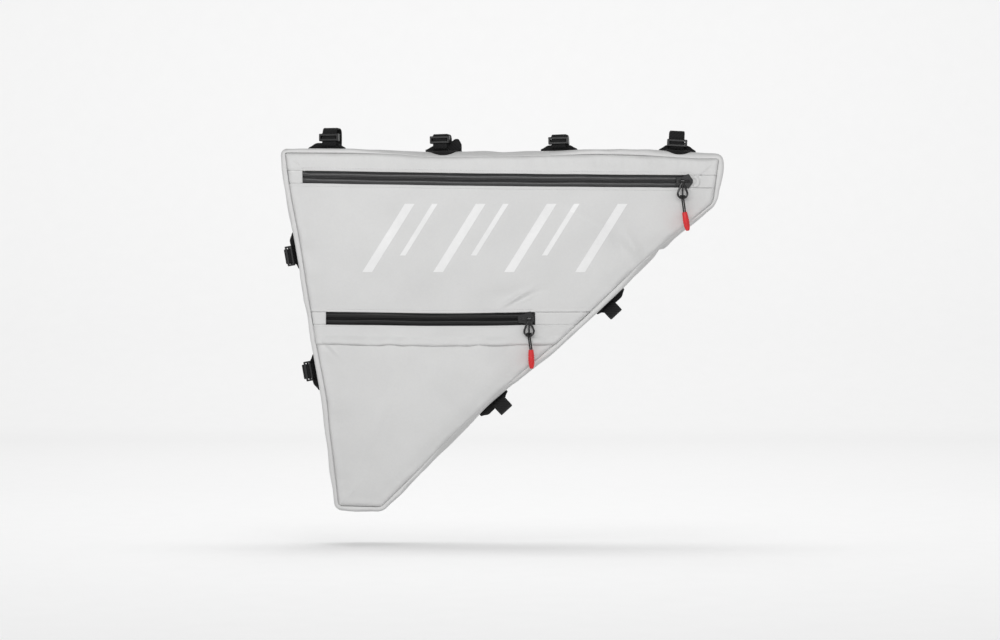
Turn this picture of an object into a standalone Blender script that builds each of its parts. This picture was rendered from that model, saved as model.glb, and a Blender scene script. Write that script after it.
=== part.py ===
"""Bicycle frame bag: a soft bag that fills the triangle of a bicycle frame.

Metres. +X runs to the right along the top of the bag, +Z is up and +Y goes away from the
viewer. The front panel, with both zips, faces -Y. The origin is the middle of the top,
where the bag lies against the frame's top tube.

Every piece is one object. Cloth is an open sheet with a Solidify modifier, the pulls and
sliders are curves and primitives joined by Booleans, and the eight strap sets come from
one table.
"""

import math

import bmesh
import bpy
from mathutils import Matrix, Vector

# Bag
BAG_LENGTH = 0.480
BAG_HEIGHT = 0.394
BAG_DEPTH = 0.060
CLOTH = 0.0015
GUSSET_BOW = 0.0060
SEAM_WANDER = 0.0045
CORNER_ROUND = 0.004
PILLOW = 0.0060
PILLOW_REACH = 0.045

# Clearance between neighbours, and the wider one under what lies on the bowed gusset
GAP = 0.0003
SEAT_GAP = 0.0006

# Zips
ZIP_WINDOW = 0.0140
TAPE_THICKNESS = 0.0010
TAPE_UNDERLAP = 0.0040
TAPE_DIP = 0.0010
ZIP_SPLIT = 0.0008
FOLD_HEIGHT = 0.0200
GARAGE_RADIUS = 0.0068
GARAGE_RIM = 0.0038

# Sliders and pulls
SLIDER_LENGTH = 0.0180
SLIDER_WIDTH = 0.0160
SLIDER_PLATE = 0.0022
BRIDGE_WIRE = 0.0020
BRIDGE_SPAN = 0.0125
BRIDGE_RISE = 0.0036
RUNNING_GAP = 0.0004
PULLER_DROP = 0.0200
PULLER_WIDTH = 0.0127
PULLER_WIRE = 0.0023
KNUCKLE_WALL = 0.0010
KNUCKLE_WIDTH = 0.0034
CORD_DIAMETER = 0.0016
CORD_DROP = 0.0150
CORD_IN_SLEEVE = 0.0050
SLEEVE_LENGTH = 0.0205
SLEEVE_WIDTH = 0.0070
SLEEVE_NECK = 0.0052

# Straps
WEBBING_WIDTH = 0.0160
WEBBING_THICKNESS = 0.0013
STRAP_RISE = 0.0240
LOOP_DEPTH = 0.0220
LOOP_ROUND = 0.0050
BUCKLE_HEIGHT = 0.0080
BUCKLE_BAR = 0.0017
BUCKLE_RAIL = 0.0018
BUCKLE_SIDE_GAP = 0.0011
TAIL_LENGTH = 0.0012
TAB_LENGTH = 0.0400
TAB_RISE = 0.0055
TAB_CROWN = 0.0012
PATCH_THICKNESS = 0.0010
PATCH_REACH = 0.0230

CLOTH_GREY = (0.70, 0.70, 0.69, 1.0)
BACK_GREY = (0.64, 0.64, 0.63, 1.0)
ZIP_BLACK = (0.035, 0.036, 0.040, 1.0)
METAL_BLACK = (0.020, 0.020, 0.022, 1.0)
WEBBING_BLACK = (0.014, 0.014, 0.015, 1.0)
GRIP_RED = (0.68, 0.035, 0.035, 1.0)

# Corners of the front seam, clockwise: name, share of the length from the left end, share
# of the height from the top, and rounding as a share of CORNER_ROUND
CORNERS = (
    ("top_left", 0.008, 0.008, 0.7),
    ("top_right", 0.992, 0.024, 1.0),
    ("elbow", 0.978, 0.146, 1.2),
    ("bottom_right", 0.226, 0.986, 1.0),
    ("bottom_left", 0.130, 0.983, 1.0),
)

# Edges of the front seam, clockwise, each from its corner to the next: name, segments, and
# rows of share along the edge, wander of the seam outwards as a share of SEAM_WANDER, and
# bow of the gusset there as a share of GUSSET_BOW
EDGES = (
    ("top", 18, (
        (0.00, 0.00, 0.85), (0.15, 0.10, 0.90), (0.26, 0.00, 0.85), (0.32, -0.46, 1.05),
        (0.42, -0.32, 1.20), (0.50, -0.10, 1.00), (0.59, 0.17, 1.00), (0.70, 0.60, 0.95),
        (0.82, 0.50, 1.15), (0.95, 0.00, 1.25), (1.00, 0.00, 0.95))),
    ("right", 3, (
        (0.00, 0.00, 0.90), (0.35, 0.00, 1.20), (0.80, 0.00, 0.90), (1.00, 0.00, 0.80))),
    ("diagonal", 22, (
        (0.00, 0.00, 0.75), (0.10, -0.50, 0.60), (0.17, -0.80, 0.72), (0.25, -0.87, 1.05),
        (0.35, -0.60, 0.98), (0.45, -0.53, 0.98), (0.53, -0.88, 0.98), (0.60, -1.02, 0.62),
        (0.68, -1.03, 0.45), (0.74, -1.06, 0.85), (0.81, -0.85, 0.88), (0.88, -0.42, 0.75),
        (1.00, 0.00, 0.85))),
    ("bottom", 3, (
        (0.00, 0.00, 0.85), (0.50, 0.00, 0.90), (1.00, 0.00, 0.85))),
    ("left", 15, (
        (0.00, 0.00, 0.85), (0.12, -0.36, 0.92), (0.22, -0.60, 0.98), (0.30, -0.98, 1.05),
        (0.45, -0.55, 0.95), (0.60, -0.35, 0.92), (0.75, -0.28, 0.97), (0.88, 0.12, 1.00),
        (1.00, 0.00, 0.85))),
)
CORNER_STEPS = 3

# Section of the gusset: share of the depth from the front seam, and share of the bow
GUSSET_SECTION = (
    (0.00, 0.00), (0.07, 0.46), (0.20, 0.84), (0.50, 1.00), (0.80, 0.84), (0.93, 0.46), (1.00, 0.00))

# Zip rows: name, share of the length where the window starts and ends, rows of share of
# the length and share of the height of its middle line
ZIPS = (
    ("upper", 0.048, 0.932, ((0.00, 0.0745), (0.05, 0.0755), (0.45, 0.083), (0.92, 0.088), (1.00, 0.088))),
    ("lower", 0.101, 0.575, ((0.00, 0.4650), (0.10, 0.4650), (0.38, 0.469), (0.57, 0.466), (1.00, 0.465))),
)

# Pulls: zip row, share of the length where the middle of the bridge is, end of the bridge
# that the pull hangs from (-1 tail, 1 nose), and lean of the cord and of its sleeve to the
# right, in degrees
PULLS = (
    ("upper", 0.9127, -1, 8.0, 10.0),
    ("lower", 0.5553, 1, 8.0, 2.0),
)

# Folds of the panels: share of the length, share of the height, direction in degrees from
# the horizontal, half length and half width as shares of BAG_LENGTH, height as a share of
# PILLOW, negative inwards
FOLDS = (
    (0.09, 0.60, -40.0, 0.050, 0.020, -0.22),
    (0.52, 0.40, 6.0, 0.060, 0.018, -0.20),
    (0.80, 0.28, -42.0, 0.060, 0.018, 0.22),
    (0.43, 0.72, -44.0, 0.110, 0.020, 0.20),
    (0.60, 0.10, 0.0, 0.300, 0.016, 0.10),
)

# Straps: name, edge, share along it, rise as a share of STRAP_RISE, middle of the buckle as
# a share of the rise, side of the buckle (-1 front, 1 back), twist in degrees, shift of
# the loop along the edge as a share of TAB_LENGTH, reach of the patch as a share of
# PATCH_REACH, and the tab's rise at its two ends as shares of TAB_RISE
STRAPS = (
    ("top_1", "top", 0.093, 1.00, 0.54, -1, -14.0, 0.13, 0.30, 0.95, 1.05),
    ("top_2", "top", 0.364, 0.81, 0.47, -1, -14.0, -0.03, 1.00, 0.85, 1.15),
    ("top_3", "top", 0.633, 0.76, 0.50, -1, -13.0, 0.04, 0.55, 0.85, 0.85),
    ("top_4", "top", 0.907, 0.97, 0.40, -1, 0.0, -0.03, 0.90, 1.00, 1.00),
    ("slant_1", "diagonal", 0.314, 0.70, 0.56, 1, 0.0, 0.13, 0.30, 0.90, 0.55),
    ("slant_2", "diagonal", 0.661, 0.73, 0.56, 1, 0.0, -0.13, 0.30, 0.70, 1.10),
    ("left_2", "left", 0.379, 0.66, 0.58, -1, 0.0, 0.07, 0.30, 0.95, 0.95),
    ("left_1", "left", 0.728, 0.60, 0.60, -1, 0.0, -0.13, 0.30, 0.50, 0.95),
)

# Straps whose loop is sewn shut, without a buckle
SEWN_LOOPS = ("slant_1", "slant_2")

# Profile of a tab: share of its length from the middle, and share of its rise
TAB_PROFILE = ((-0.50, 0.08), (-0.42, 0.40), (-0.33, 0.86), (-0.25, 1.00), (0.25, 1.00), (0.33, 0.86),
               (0.42, 0.40), (0.50, 0.08))


def clear_scene():
    for obj in list(bpy.data.objects):
        bpy.data.objects.remove(obj, do_unlink=True)


def new_collection(name):
    collection = bpy.data.collections.new(name)
    bpy.context.scene.collection.children.link(collection)
    return collection


def material(name, colour, roughness, metallic=0.0):
    found = bpy.data.materials.get(name)
    if found:
        return found
    made = bpy.data.materials.new(name)
    made.use_nodes = True
    shader = made.node_tree.nodes["Principled BSDF"]
    shader.inputs["Base Color"].default_value = colour
    shader.inputs["Roughness"].default_value = roughness
    shader.inputs["Metallic"].default_value = metallic
    made.diffuse_color = colour
    return made


def lerp(a, b, share):
    return a + (b - a) * share


def eased(rows, at, column=1):
    """A column of a table, read at a value of its first column on a smooth curve."""
    last = len(rows) - 1
    i = next((k for k in range(last) if at <= rows[k + 1][0]), last - 1)
    before, low, high, after = rows[max(i - 1, 0)], rows[i], rows[i + 1], rows[min(i + 2, last)]
    step = high[0] - low[0]
    share = min(max((at - low[0]) / step, 0.0), 1.0)
    slope_low = (high[column] - before[column]) / (high[0] - before[0]) * step
    slope_high = (after[column] - low[column]) / (after[0] - low[0]) * step
    square, cube = share * share, share ** 3
    return ((2 * cube - 3 * square + 1) * low[column] + (cube - 2 * square + share) * slope_low
            + (3 * square - 2 * cube) * high[column] + (cube - square) * slope_high)


def straight(rows, at):
    """The second column of a table, read at a value of its first column on straight lines."""
    i = next((k for k in range(len(rows) - 1) if at <= rows[k + 1][0]), len(rows) - 2)
    low, high = rows[i], rows[i + 1]
    return lerp(low[1], high[1], min(max((at - low[0]) / (high[0] - low[0]), 0.0), 1.0))


def across(share):
    return (share - 0.5) * BAG_LENGTH


def down(share):
    return -share * BAG_HEIGHT


def seam_point(edge, along):
    """A point of the front seam, as X and Z."""
    index = [row[0] for row in EDGES].index(edge)
    start, end = CORNERS[index], CORNERS[(index + 1) % len(CORNERS)]
    first = Vector((across(start[1]), down(start[2])))
    last = Vector((across(end[1]), down(end[2])))
    direction = (last - first).normalized()
    outwards = Vector((-direction.y, direction.x))
    wander = eased(EDGES[index][2], along, 1) * SEAM_WANDER
    return first.lerp(last, along) + outwards * wander


def seam_ring():
    """The whole front seam, clockwise, with round corners: a list of (point, bow)."""
    ring = []
    for index, (edge, segments, rows) in enumerate(EDGES):
        start, end = CORNERS[index], CORNERS[(index + 1) % len(CORNERS)]
        length = (seam_point(edge, 1.0) - seam_point(edge, 0.0)).length
        low = start[3] * CORNER_ROUND / length
        high = 1.0 - end[3] * CORNER_ROUND / length
        for k in range(segments + 1):
            along = lerp(low, high, k / segments)
            ring.append((seam_point(edge, along), eased(rows, along, 2) * GUSSET_BOW))
        following = EDGES[(index + 1) % len(EDGES)]
        ahead = (seam_point(following[0], 1.0) - seam_point(following[0], 0.0)).length
        leave = seam_point(edge, high)
        corner = seam_point(edge, 1.0)
        arrive = seam_point(following[0], end[3] * CORNER_ROUND / ahead)
        bow_out, bow_in = eased(rows, 1.0, 2), eased(following[2], 0.0, 2)
        for k in range(1, CORNER_STEPS):
            share = k / CORNER_STEPS
            point = leave.lerp(corner, share).lerp(corner.lerp(arrive, share), share)
            ring.append((point, lerp(bow_out, bow_in, share) * GUSSET_BOW))
    return ring


RING = seam_ring()


def ring_normal(index):
    before, after = RING[index - 1][0], RING[(index + 1) % len(RING)][0]
    direction = (after - before).normalized()
    return Vector((-direction.y, direction.x))


NORMALS = [ring_normal(k) for k in range(len(RING))]


def gusset_vertex(index, depth_share, bow_share):
    point, bow = RING[index % len(RING)]
    place = point + NORMALS[index % len(RING)] * (bow * bow_share)
    front = -BAG_DEPTH / 2 + CLOTH + GAP
    return Vector((place.x, lerp(front, -front, depth_share), place.y))


def distance_to_seam(x, z):
    point = Vector((x, z))
    nearest = BAG_LENGTH
    for k, (start, _) in enumerate(RING):
        step = RING[(k + 1) % len(RING)][0] - start
        share = min(max((point - start).dot(step) / step.length_squared, 0.0), 1.0)
        nearest = min(nearest, (point - start - step * share).length)
    return nearest


def fold_height(x, z):
    """How far the folds lift the front cloth, away from the seam."""
    total = 0.0
    for share_x, share_z, degrees, half_length, half_width, height in FOLDS:
        turn = math.radians(degrees)
        dx, dz = x - across(share_x), z - down(share_z)
        along = (dx * math.cos(turn) + dz * math.sin(turn)) / (half_length * BAG_LENGTH)
        aside = (dz * math.cos(turn) - dx * math.sin(turn)) / (half_width * BAG_LENGTH)
        total += height * PILLOW * math.exp(-along * along - aside * aside)
    return total


def swell(x, z, with_folds=True):
    """How far a panel stands proud of its seam at a point."""
    rise = 1.0 - min(distance_to_seam(x, z) / PILLOW_REACH, 1.0)
    lifted = PILLOW + (fold_height(x, z) if with_folds else 0.0)
    return lifted * (1.0 - rise ** 2.4)


def front_y(x, z):
    return -BAG_DEPTH / 2 - swell(x, z)


def chord(z):
    """Left and right ends of the front seam at a height."""
    hits = []
    for k, (start, _) in enumerate(RING):
        end = RING[(k + 1) % len(RING)][0]
        if (start.y - z) * (end.y - z) <= 0 and abs(start.y - end.y) > 1e-9:
            hits.append(lerp(start.x, end.x, (z - start.y) / (end.y - start.y)))
    return min(hits), max(hits)


def zip_line(row, x, offset):
    """Height of a zip row's middle line at x, raised by an offset."""
    share = min(max(x / BAG_LENGTH + 0.5, 0.0), 1.0)
    return down(eased(row[3], share)) + offset


def level(row, offset):
    """A line across the bag that follows a zip row: a function from share to X and Z."""
    middle = down(row[3][len(row[3]) // 2][1]) + offset
    left, right = chord(middle)

    def at(share):
        x = lerp(left, right, share)
        return Vector((x, zip_line(row, x, offset)))

    return at


def finish(obj, collection, skin):
    obj.data.materials.append(skin)
    collection.objects.link(obj)
    return obj


def object_from(name, mesh_maker):
    mesh = bpy.data.meshes.new(name)
    builder = bmesh.new()
    mesh_maker(builder)
    builder.to_mesh(mesh)
    builder.free()
    return bpy.data.objects.new(name, mesh)


def toward_ends(share):
    """A share moved nearer to 0 or 1, so that grid lines lie closer where cloth curves more."""
    return lerp(share, 0.5 - 0.5 * math.cos(math.pi * share), 0.75)


def cloth_sheet(name, place, columns, rows, thickness, skin, collection):
    """An open sheet, mapped from a square grid by place(u, v), given a thickness inwards."""

    def build(builder):
        bmesh.ops.create_grid(builder, x_segments=columns, y_segments=rows, size=0.5)
        for vertex in builder.verts:
            vertex.co = place(vertex.co.x + 0.5, vertex.co.y + 0.5)

    obj = object_from(name, build)
    obj.data.shade_smooth()
    solid = obj.modifiers.new("Thickness", "SOLIDIFY")
    solid.thickness = thickness
    solid.offset = -1.0
    solid.use_even_offset = False
    return finish(obj, collection, skin)


def front_panel(name, low_line, high_line, columns, rows, lift, thickness, skin, collection):
    """A piece of the front between two lines; each row of it runs from seam to seam."""

    def place(u, v):
        u = toward_ends(u)
        low, high = low_line(u), high_line(u)
        z_left, z_right = lerp(low_line(0.0).y, high_line(0.0).y, v), lerp(low_line(1.0).y, high_line(1.0).y, v)
        left, right = chord(z_left)[0], chord(z_right)[1]
        x = lerp(left, right, u)
        z = lerp(low.y, high.y, v)
        return Vector((x, front_y(x, z) - lift, z))

    return cloth_sheet(name, place, columns, rows, thickness, skin, collection)


def top_seam(share):
    return seam_point("top", lerp(0.004, 0.996, share))


def bottom_seam(share):
    return seam_point("bottom", lerp(0.97, 0.03, share))


def make_front(collection, skin):
    upper, lower = ZIPS
    half = ZIP_WINDOW / 2

    def top_place(u, v):
        u = toward_ends(u)
        low, high = level(upper, half + GAP / 2)(u), top_seam(u)
        point = low.lerp(high, v)
        return Vector((point.x, front_y(point.x, point.y), point.y))

    cloth_sheet("panel_top", top_place, 22, 4, CLOTH, skin, collection)
    front_panel("panel_main", level(lower, half + GAP / 2), level(upper, -half - GAP / 2),
                20, 9, 0.0, CLOTH, skin, collection)

    def low_place(u, v):
        u = toward_ends(u)
        top_line, seam = level(lower, -half - GAP / 2), bottom_seam(u)
        z = lerp(seam.y, top_line(u).y, v)
        if v < 1e-6:
            return Vector((seam.x, front_y(seam.x, z), z))
        middle = lerp(bottom_seam(0.5).y, top_line(0.5).y, v)
        left, right = chord(middle)
        x = lerp(left, right, u)
        return Vector((x, front_y(x, z), z))

    cloth_sheet("panel_lower", low_place, 12, 10, CLOTH, skin, collection)
    fold_top = max(ZIP_WINDOW, SLIDER_WIDTH) / 2 + 2 * GAP
    fold_low, fold_high = level(lower, -fold_top - FOLD_HEIGHT), level(lower, -fold_top)
    front_panel("fold_band", fold_low, fold_high, 16, 2, CLOTH + SEAT_GAP, CLOTH, skin, collection)


def window_ends(row):
    return across(row[1]), across(row[2])


def patch_between(name, row, start, end, columns, skin, collection):
    """A piece of cloth that closes a zip row between two places, each a function of v."""
    half = ZIP_WINDOW / 2 - GAP / 2

    def place(u, v):
        offset = lerp(-half, half, v)
        x = lerp(start(offset), end(offset), u)
        z = zip_line(row, x, offset)
        return Vector((x, front_y(x, z), z))

    return cloth_sheet(name, place, columns, 1, CLOTH, skin, collection)


def make_zip_row(row, collection, cloth, tape_skin):
    name = row[0]
    first, last = window_ends(row)

    def seam_left(offset):
        return chord(zip_line(row, first, offset))[0]

    def seam_right(offset):
        guess = chord(zip_line(row, last, offset))[1]
        return chord(zip_line(row, guess, offset))[1]

    patch_between(name + "_patch_left", row, seam_left, lambda offset: first - GAP / 2, 1, cloth, collection)
    patch_between(name + "_patch_right", row, lambda offset: last + GAP / 2, seam_right,
                  5 if name == "lower" else 3, cloth, collection)
    reach = ZIP_WINDOW / 2 + TAPE_UNDERLAP
    for part, low, high in (("upper", ZIP_SPLIT / 2, reach), ("lower", -reach, -ZIP_SPLIT / 2)):

        def place(u, v):
            x = lerp(first - TAPE_UNDERLAP, last + TAPE_UNDERLAP, u)
            offset = lerp(low, high, v)
            z = zip_line(row, x, offset)
            return Vector((x, front_y(x, z) + CLOTH + GAP + TAPE_DIP * abs(offset) / reach, z))

        cloth_sheet(f"{name}_zip_tape_{part}", place, 20 if name == "upper" else 12, 1,
                    TAPE_THICKNESS, tape_skin, collection)


def make_back(collection, skin):
    """The plain far side, one sheet from the top seam to the bottom seam."""

    def place(u, v):
        v = toward_ends(v)
        share = 1.0 - toward_ends(u)
        seam_low, seam_high = bottom_seam(share), top_seam(share)
        if v < 1e-6:
            point = seam_low
        elif v > 1 - 1e-6:
            point = seam_high
        else:
            z = lerp(bottom_seam(0.5).y, top_seam(0.5).y, v)
            left, right = chord(z)
            point = Vector((lerp(left, right, share), z))
        return Vector((point.x, BAG_DEPTH / 2 + swell(point.x, point.y, False), point.y))

    cloth_sheet("back_panel", place, 12, 12, CLOTH, skin, collection)


def make_gusset(collection, skin):
    def build(builder):
        loops = []
        for index in range(len(RING)):
            loops.append([builder.verts.new(gusset_vertex(index, *row)) for row in GUSSET_SECTION])
        for index, loop in enumerate(loops):
            following = loops[(index + 1) % len(loops)]
            for k in range(len(loop) - 1):
                builder.faces.new((loop[k], loop[k + 1], following[k + 1], following[k]))
        bmesh.ops.recalc_face_normals(builder, faces=builder.faces)

    obj = object_from("gusset", build)
    outward = obj.data.polygons[0].normal
    if outward.dot(Vector((NORMALS[0].x, 0.0, NORMALS[0].y))) < 0:
        obj.data.flip_normals()
    obj.data.shade_smooth()
    solid = obj.modifiers.new("Thickness", "SOLIDIFY")
    solid.thickness = CLOTH
    solid.offset = -1.0
    finish(obj, collection, skin)


def make_garage(collection, skin):
    """A half-round tab on the cloth past the nose of the upper slider."""
    row = ZIPS[0]
    centre_x = across(row[2]) + 2 * GAP

    def place(u, v):
        angle = lerp(-math.pi / 2, math.pi / 2, v)
        radius = lerp(GARAGE_RADIUS - GARAGE_RIM, GARAGE_RADIUS, u)
        x = centre_x + radius * math.cos(angle)
        z = zip_line(row, centre_x, radius * math.sin(angle))
        return Vector((x, front_y(x, z) - CLOTH / 2 - GAP, z))

    cloth_sheet("zip_garage", place, 1, 8, CLOTH / 2, skin, collection)


def mesh_of_curve(name, obj):
    """The evaluated mesh of a curve, with its caps welded, as a new object."""
    bpy.context.view_layer.update()
    graph = bpy.context.evaluated_depsgraph_get()
    mesh = bpy.data.meshes.new_from_object(obj.evaluated_get(graph))
    builder = bmesh.new()
    builder.from_mesh(mesh)
    bmesh.ops.remove_doubles(builder, verts=builder.verts, dist=0.00002)
    bmesh.ops.recalc_face_normals(builder, faces=builder.faces)
    builder.to_mesh(mesh)
    builder.free()
    mesh.name = name
    made = bpy.data.objects.new(name, mesh)
    made.matrix_world = obj.matrix_world.copy()
    bpy.data.objects.remove(obj, do_unlink=True)
    return made


def tube(name, points, radius, collection, cyclic=False, resolution=2):
    """A round wire along points, as a mesh object that isn't in a collection yet."""
    data = bpy.data.curves.new(name, "CURVE")
    data.dimensions = "3D"
    data.bevel_depth = radius
    data.bevel_resolution = resolution
    data.use_fill_caps = not cyclic
    line = data.splines.new("POLY")
    line.points.add(len(points) - 1)
    for target, point in zip(line.points, points):
        target.co = (*point, 1.0)
    line.use_cyclic_u = cyclic
    curve = bpy.data.objects.new(name + "_line", data)
    collection.objects.link(curve)
    return mesh_of_curve(name, curve)


def extruded(name, outline, low, high):
    """A flat outline in X and Z, given a thickness from low to high in Y."""

    def build(builder):
        corners = [builder.verts.new((point[0], low, point[1])) for point in outline]
        face = builder.faces.new(corners)
        grown = bmesh.ops.extrude_face_region(builder, geom=[face])
        moved = [item for item in grown["geom"] if isinstance(item, bmesh.types.BMVert)]
        bmesh.ops.translate(builder, verts=moved, vec=(0.0, high - low, 0.0))
        bmesh.ops.recalc_face_normals(builder, faces=builder.faces)

    return object_from(name, build)


def box(name, size, centre):
    def build(builder):
        bmesh.ops.create_cube(builder, size=1.0)
        bmesh.ops.scale(builder, vec=size, verts=builder.verts)
        bmesh.ops.translate(builder, vec=centre, verts=builder.verts)

    return object_from(name, build)


def cylinder_x(name, radius, length, centre, sides):
    def build(builder):
        bmesh.ops.create_cone(builder, cap_ends=True, segments=sides, radius1=radius, radius2=radius,
                              depth=length, matrix=Matrix.Rotation(math.pi / 2, 4, "Y"))
        bmesh.ops.translate(builder, vec=centre, verts=builder.verts)

    return object_from(name, build)


def combine(obj, other, operation, cutters):
    other.display_type = "WIRE"
    other.hide_render = True
    cutters.objects.link(other)
    step = obj.modifiers.new(other.name, "BOOLEAN")
    step.operation = operation
    step.solver = "EXACT"
    step.object = other


def soften(obj, width, segments=1):
    step = obj.modifiers.new("Soft edges", "BEVEL")
    step.width = width
    step.segments = segments
    step.limit_method = "ANGLE"
    step.angle_limit = math.radians(50)


def plate_front(x, z):
    """Y of a slider's front face: its back clears the proudest cloth under it."""
    proudest = min(
        front_y(x + i * SLIDER_LENGTH / 2, z + k * SLIDER_WIDTH / 2) for i in (-1, 0, 1) for k in (-1, 0, 1))
    return proudest - GAP - SLIDER_PLATE


def make_slider(pull, collection, cutters, skin):
    row = next(item for item in ZIPS if item[0] == pull[0])
    bridge_x = across(pull[1])
    z = zip_line(row, bridge_x, 0.0)
    front = plate_front(bridge_x, z)
    back = front + SLIDER_PLATE
    nose, tail = bridge_x + 0.48 * SLIDER_LENGTH, bridge_x - 0.52 * SLIDER_LENGTH
    half = SLIDER_WIDTH / 2
    outline = [(tail, z - 0.55 * half), (tail, z + 0.55 * half), (lerp(tail, nose, 0.35), z + 0.62 * half),
               (lerp(tail, nose, 0.75), z + half), (nose, z + 0.18 * half), (nose, z - 0.18 * half),
               (lerp(tail, nose, 0.75), z - half), (lerp(tail, nose, 0.35), z - 0.62 * half)]
    slider = extruded(pull[0] + "_slider", outline, front, back)
    soften(slider, SLIDER_PLATE / 5)
    tape_face = front_y(bridge_x, z) + CLOTH
    stem_low = back - SLIDER_PLATE / 2
    stem = box(pull[0] + "_slider_stem", (0.6 * SLIDER_LENGTH, tape_face - stem_low, 0.4 * SLIDER_WIDTH),
               (bridge_x, (tape_face + stem_low) / 2, z))
    combine(slider, stem, "UNION", cutters)
    bar = front - BRIDGE_RISE
    reach = BRIDGE_SPAN / 2
    round_off = 0.4 * BRIDGE_RISE
    points = [(bridge_x - reach, back - SLIDER_PLATE / 2, z), (bridge_x - reach, bar + round_off, z),
              (bridge_x - reach + round_off, bar, z), (bridge_x + reach - round_off, bar, z),
              (bridge_x + reach, bar + round_off, z), (bridge_x + reach, back - SLIDER_PLATE / 2, z)]
    bridge = tube(pull[0] + "_slider_bridge", points, BRIDGE_WIRE / 2, collection)
    combine(slider, bridge, "UNION", cutters)
    finish(slider, collection, skin)
    return Vector((bridge_x + pull[2] * (reach - round_off - KNUCKLE_WIDTH / 2 - RUNNING_GAP), bar, z))


def make_puller(pull, hinge, collection, cutters, skin):
    """A wire ring with a middle spine, on a knuckle that turns about the bridge."""
    name = pull[0] + "_puller"
    wire = PULLER_WIRE / 2
    radius = PULLER_WIDTH / 2 - wire
    bore = BRIDGE_WIRE / 2 + RUNNING_GAP
    knuckle = bore + KNUCKLE_WALL
    centre_drop = PULLER_DROP - PULLER_WIDTH / 2
    neck_half = KNUCKLE_WIDTH / 2 - wire
    ring = []
    for k in range(17):
        angle = math.radians(lerp(155.0, 385.0, k / 16))
        ring.append((hinge.x + radius * math.cos(angle), hinge.y, hinge.z - centre_drop + radius * math.sin(angle)))
    neck_z = hinge.z - knuckle + wire / 2
    points = [(hinge.x - neck_half, hinge.y, neck_z), *ring, (hinge.x + neck_half, hinge.y, neck_z)]
    puller = tube(name, points, wire, collection)
    spine = tube(name + "_spine", [(hinge.x, hinge.y, neck_z),
                                   (hinge.x, hinge.y, hinge.z - PULLER_DROP + PULLER_WIRE * 0.6)],
                 wire * 0.9, collection)
    combine(puller, spine, "UNION", cutters)
    combine(puller, cylinder_x(name + "_knuckle", knuckle, KNUCKLE_WIDTH, hinge, 16), "UNION", cutters)
    combine(puller, cylinder_x(name + "_bore", bore, 2 * KNUCKLE_WIDTH, hinge, 12), "DIFFERENCE", cutters)
    return finish(puller, collection, skin)


def sleeve_frame(pull, hinge):
    """Where the sleeve's upper end is, and the direction in which it hangs."""
    lean_cord, lean_sleeve = math.radians(pull[3]), math.radians(pull[4])
    low = Vector((hinge.x, hinge.y, hinge.z - PULLER_DROP + PULLER_WIRE / 2))
    along = Vector((math.sin(lean_cord), 0.0, -math.cos(lean_cord)))
    hang = Vector((math.sin(lean_sleeve), 0.0, -math.cos(lean_sleeve)))
    return low + along * CORD_DROP, hang


def cord_line(pull, hinge):
    """The doubled cord: up in front of the ring's wire, behind the spine and down again."""
    top, hang = sleeve_frame(pull, hinge)
    wire = Vector((hinge.x, hinge.y, hinge.z - PULLER_DROP + PULLER_WIRE / 2))
    away = PULLER_WIRE / 2 + CORD_DIAMETER / 2 + GAP
    inside = CORD_DIAMETER / 2 + GAP / 2
    lift = away + 0.3 * PULLER_WIRE
    level_x, up = Vector((1.0, 0.0, 0.0)), Vector((0.0, 0.0, 1.0))
    side = Vector((math.cos(math.radians(pull[4])), 0.0, math.sin(math.radians(pull[4]))))
    front = Vector((0.0, -1.0, 0.0))

    def strand(sign):
        rows = [top + hang * CORD_IN_SLEEVE + side * (sign * inside), top + side * (sign * inside)]
        for share in (0.35, 0.7, 1.0):
            across_bag = side.lerp(level_x, share)
            rows.append(top.lerp(wire, share) + across_bag * (sign * inside) + front * (away * share))
        for degrees in (35.0, 70.0):
            turn = math.radians(degrees)
            spread = level_x * (sign * lerp(inside, away, degrees / 90.0))
            rows.append(wire + spread + front * (lift * math.cos(turn)) + up * (lift * math.sin(turn)))
        rows.append(wire + level_x * (sign * away * 0.97) - front * (0.25 * away) + up * lift)
        rows.append(wire + level_x * (sign * away * 0.6) - front * (0.8 * away) + up * lift)
        return rows

    return [*strand(1), wire - front * (1.02 * away) + up * lift, *reversed(strand(-1))]


def make_cord(pull, hinge, collection, skin):
    cord = tube(pull[0] + "_pull_cord", cord_line(pull, hinge), CORD_DIAMETER / 2, collection)
    return finish(cord, collection, skin)


def make_sleeve(pull, hinge, collection, skin):
    """A moulded grip on the cord, turned about its own axis, with a socket for both strands."""
    socket = CORD_DIAMETER + GAP * 1.8
    neck = max(SLEEVE_NECK / 2, socket + 2 * GAP)
    belly = max(SLEEVE_WIDTH / 2, neck)
    depth = min(CORD_IN_SLEEVE + GAP, 0.8 * SLEEVE_LENGTH)
    profile = [(0.0, -depth), (socket, -depth), (socket, 0.0), (neck - GAP, 0.0), (neck, -0.04 * SLEEVE_LENGTH),
               (lerp(neck, belly, 0.45), -0.22 * SLEEVE_LENGTH), (belly, -0.48 * SLEEVE_LENGTH),
               (lerp(neck, belly, 0.55), -0.74 * SLEEVE_LENGTH), (0.86 * neck, -0.93 * SLEEVE_LENGTH),
               (0.60 * neck, -SLEEVE_LENGTH), (0.0, -SLEEVE_LENGTH)]

    def build(builder):
        line = [builder.verts.new((radius, 0.0, z)) for radius, z in profile]
        for k in range(len(line) - 1):
            builder.edges.new((line[k], line[k + 1]))

    sleeve = object_from(pull[0] + "_sleeve", build)
    turn = sleeve.modifiers.new("Turned", "SCREW")
    turn.steps = 14
    turn.render_steps = 14
    turn.use_merge_vertices = True
    turn.merge_threshold = 0.00001
    turn.use_smooth_shade = True
    sleeve.location = sleeve_frame(pull, hinge)[0]
    sleeve.rotation_euler = (0.0, -math.radians(pull[4]), 0.0)
    return finish(sleeve, collection, skin)


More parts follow.
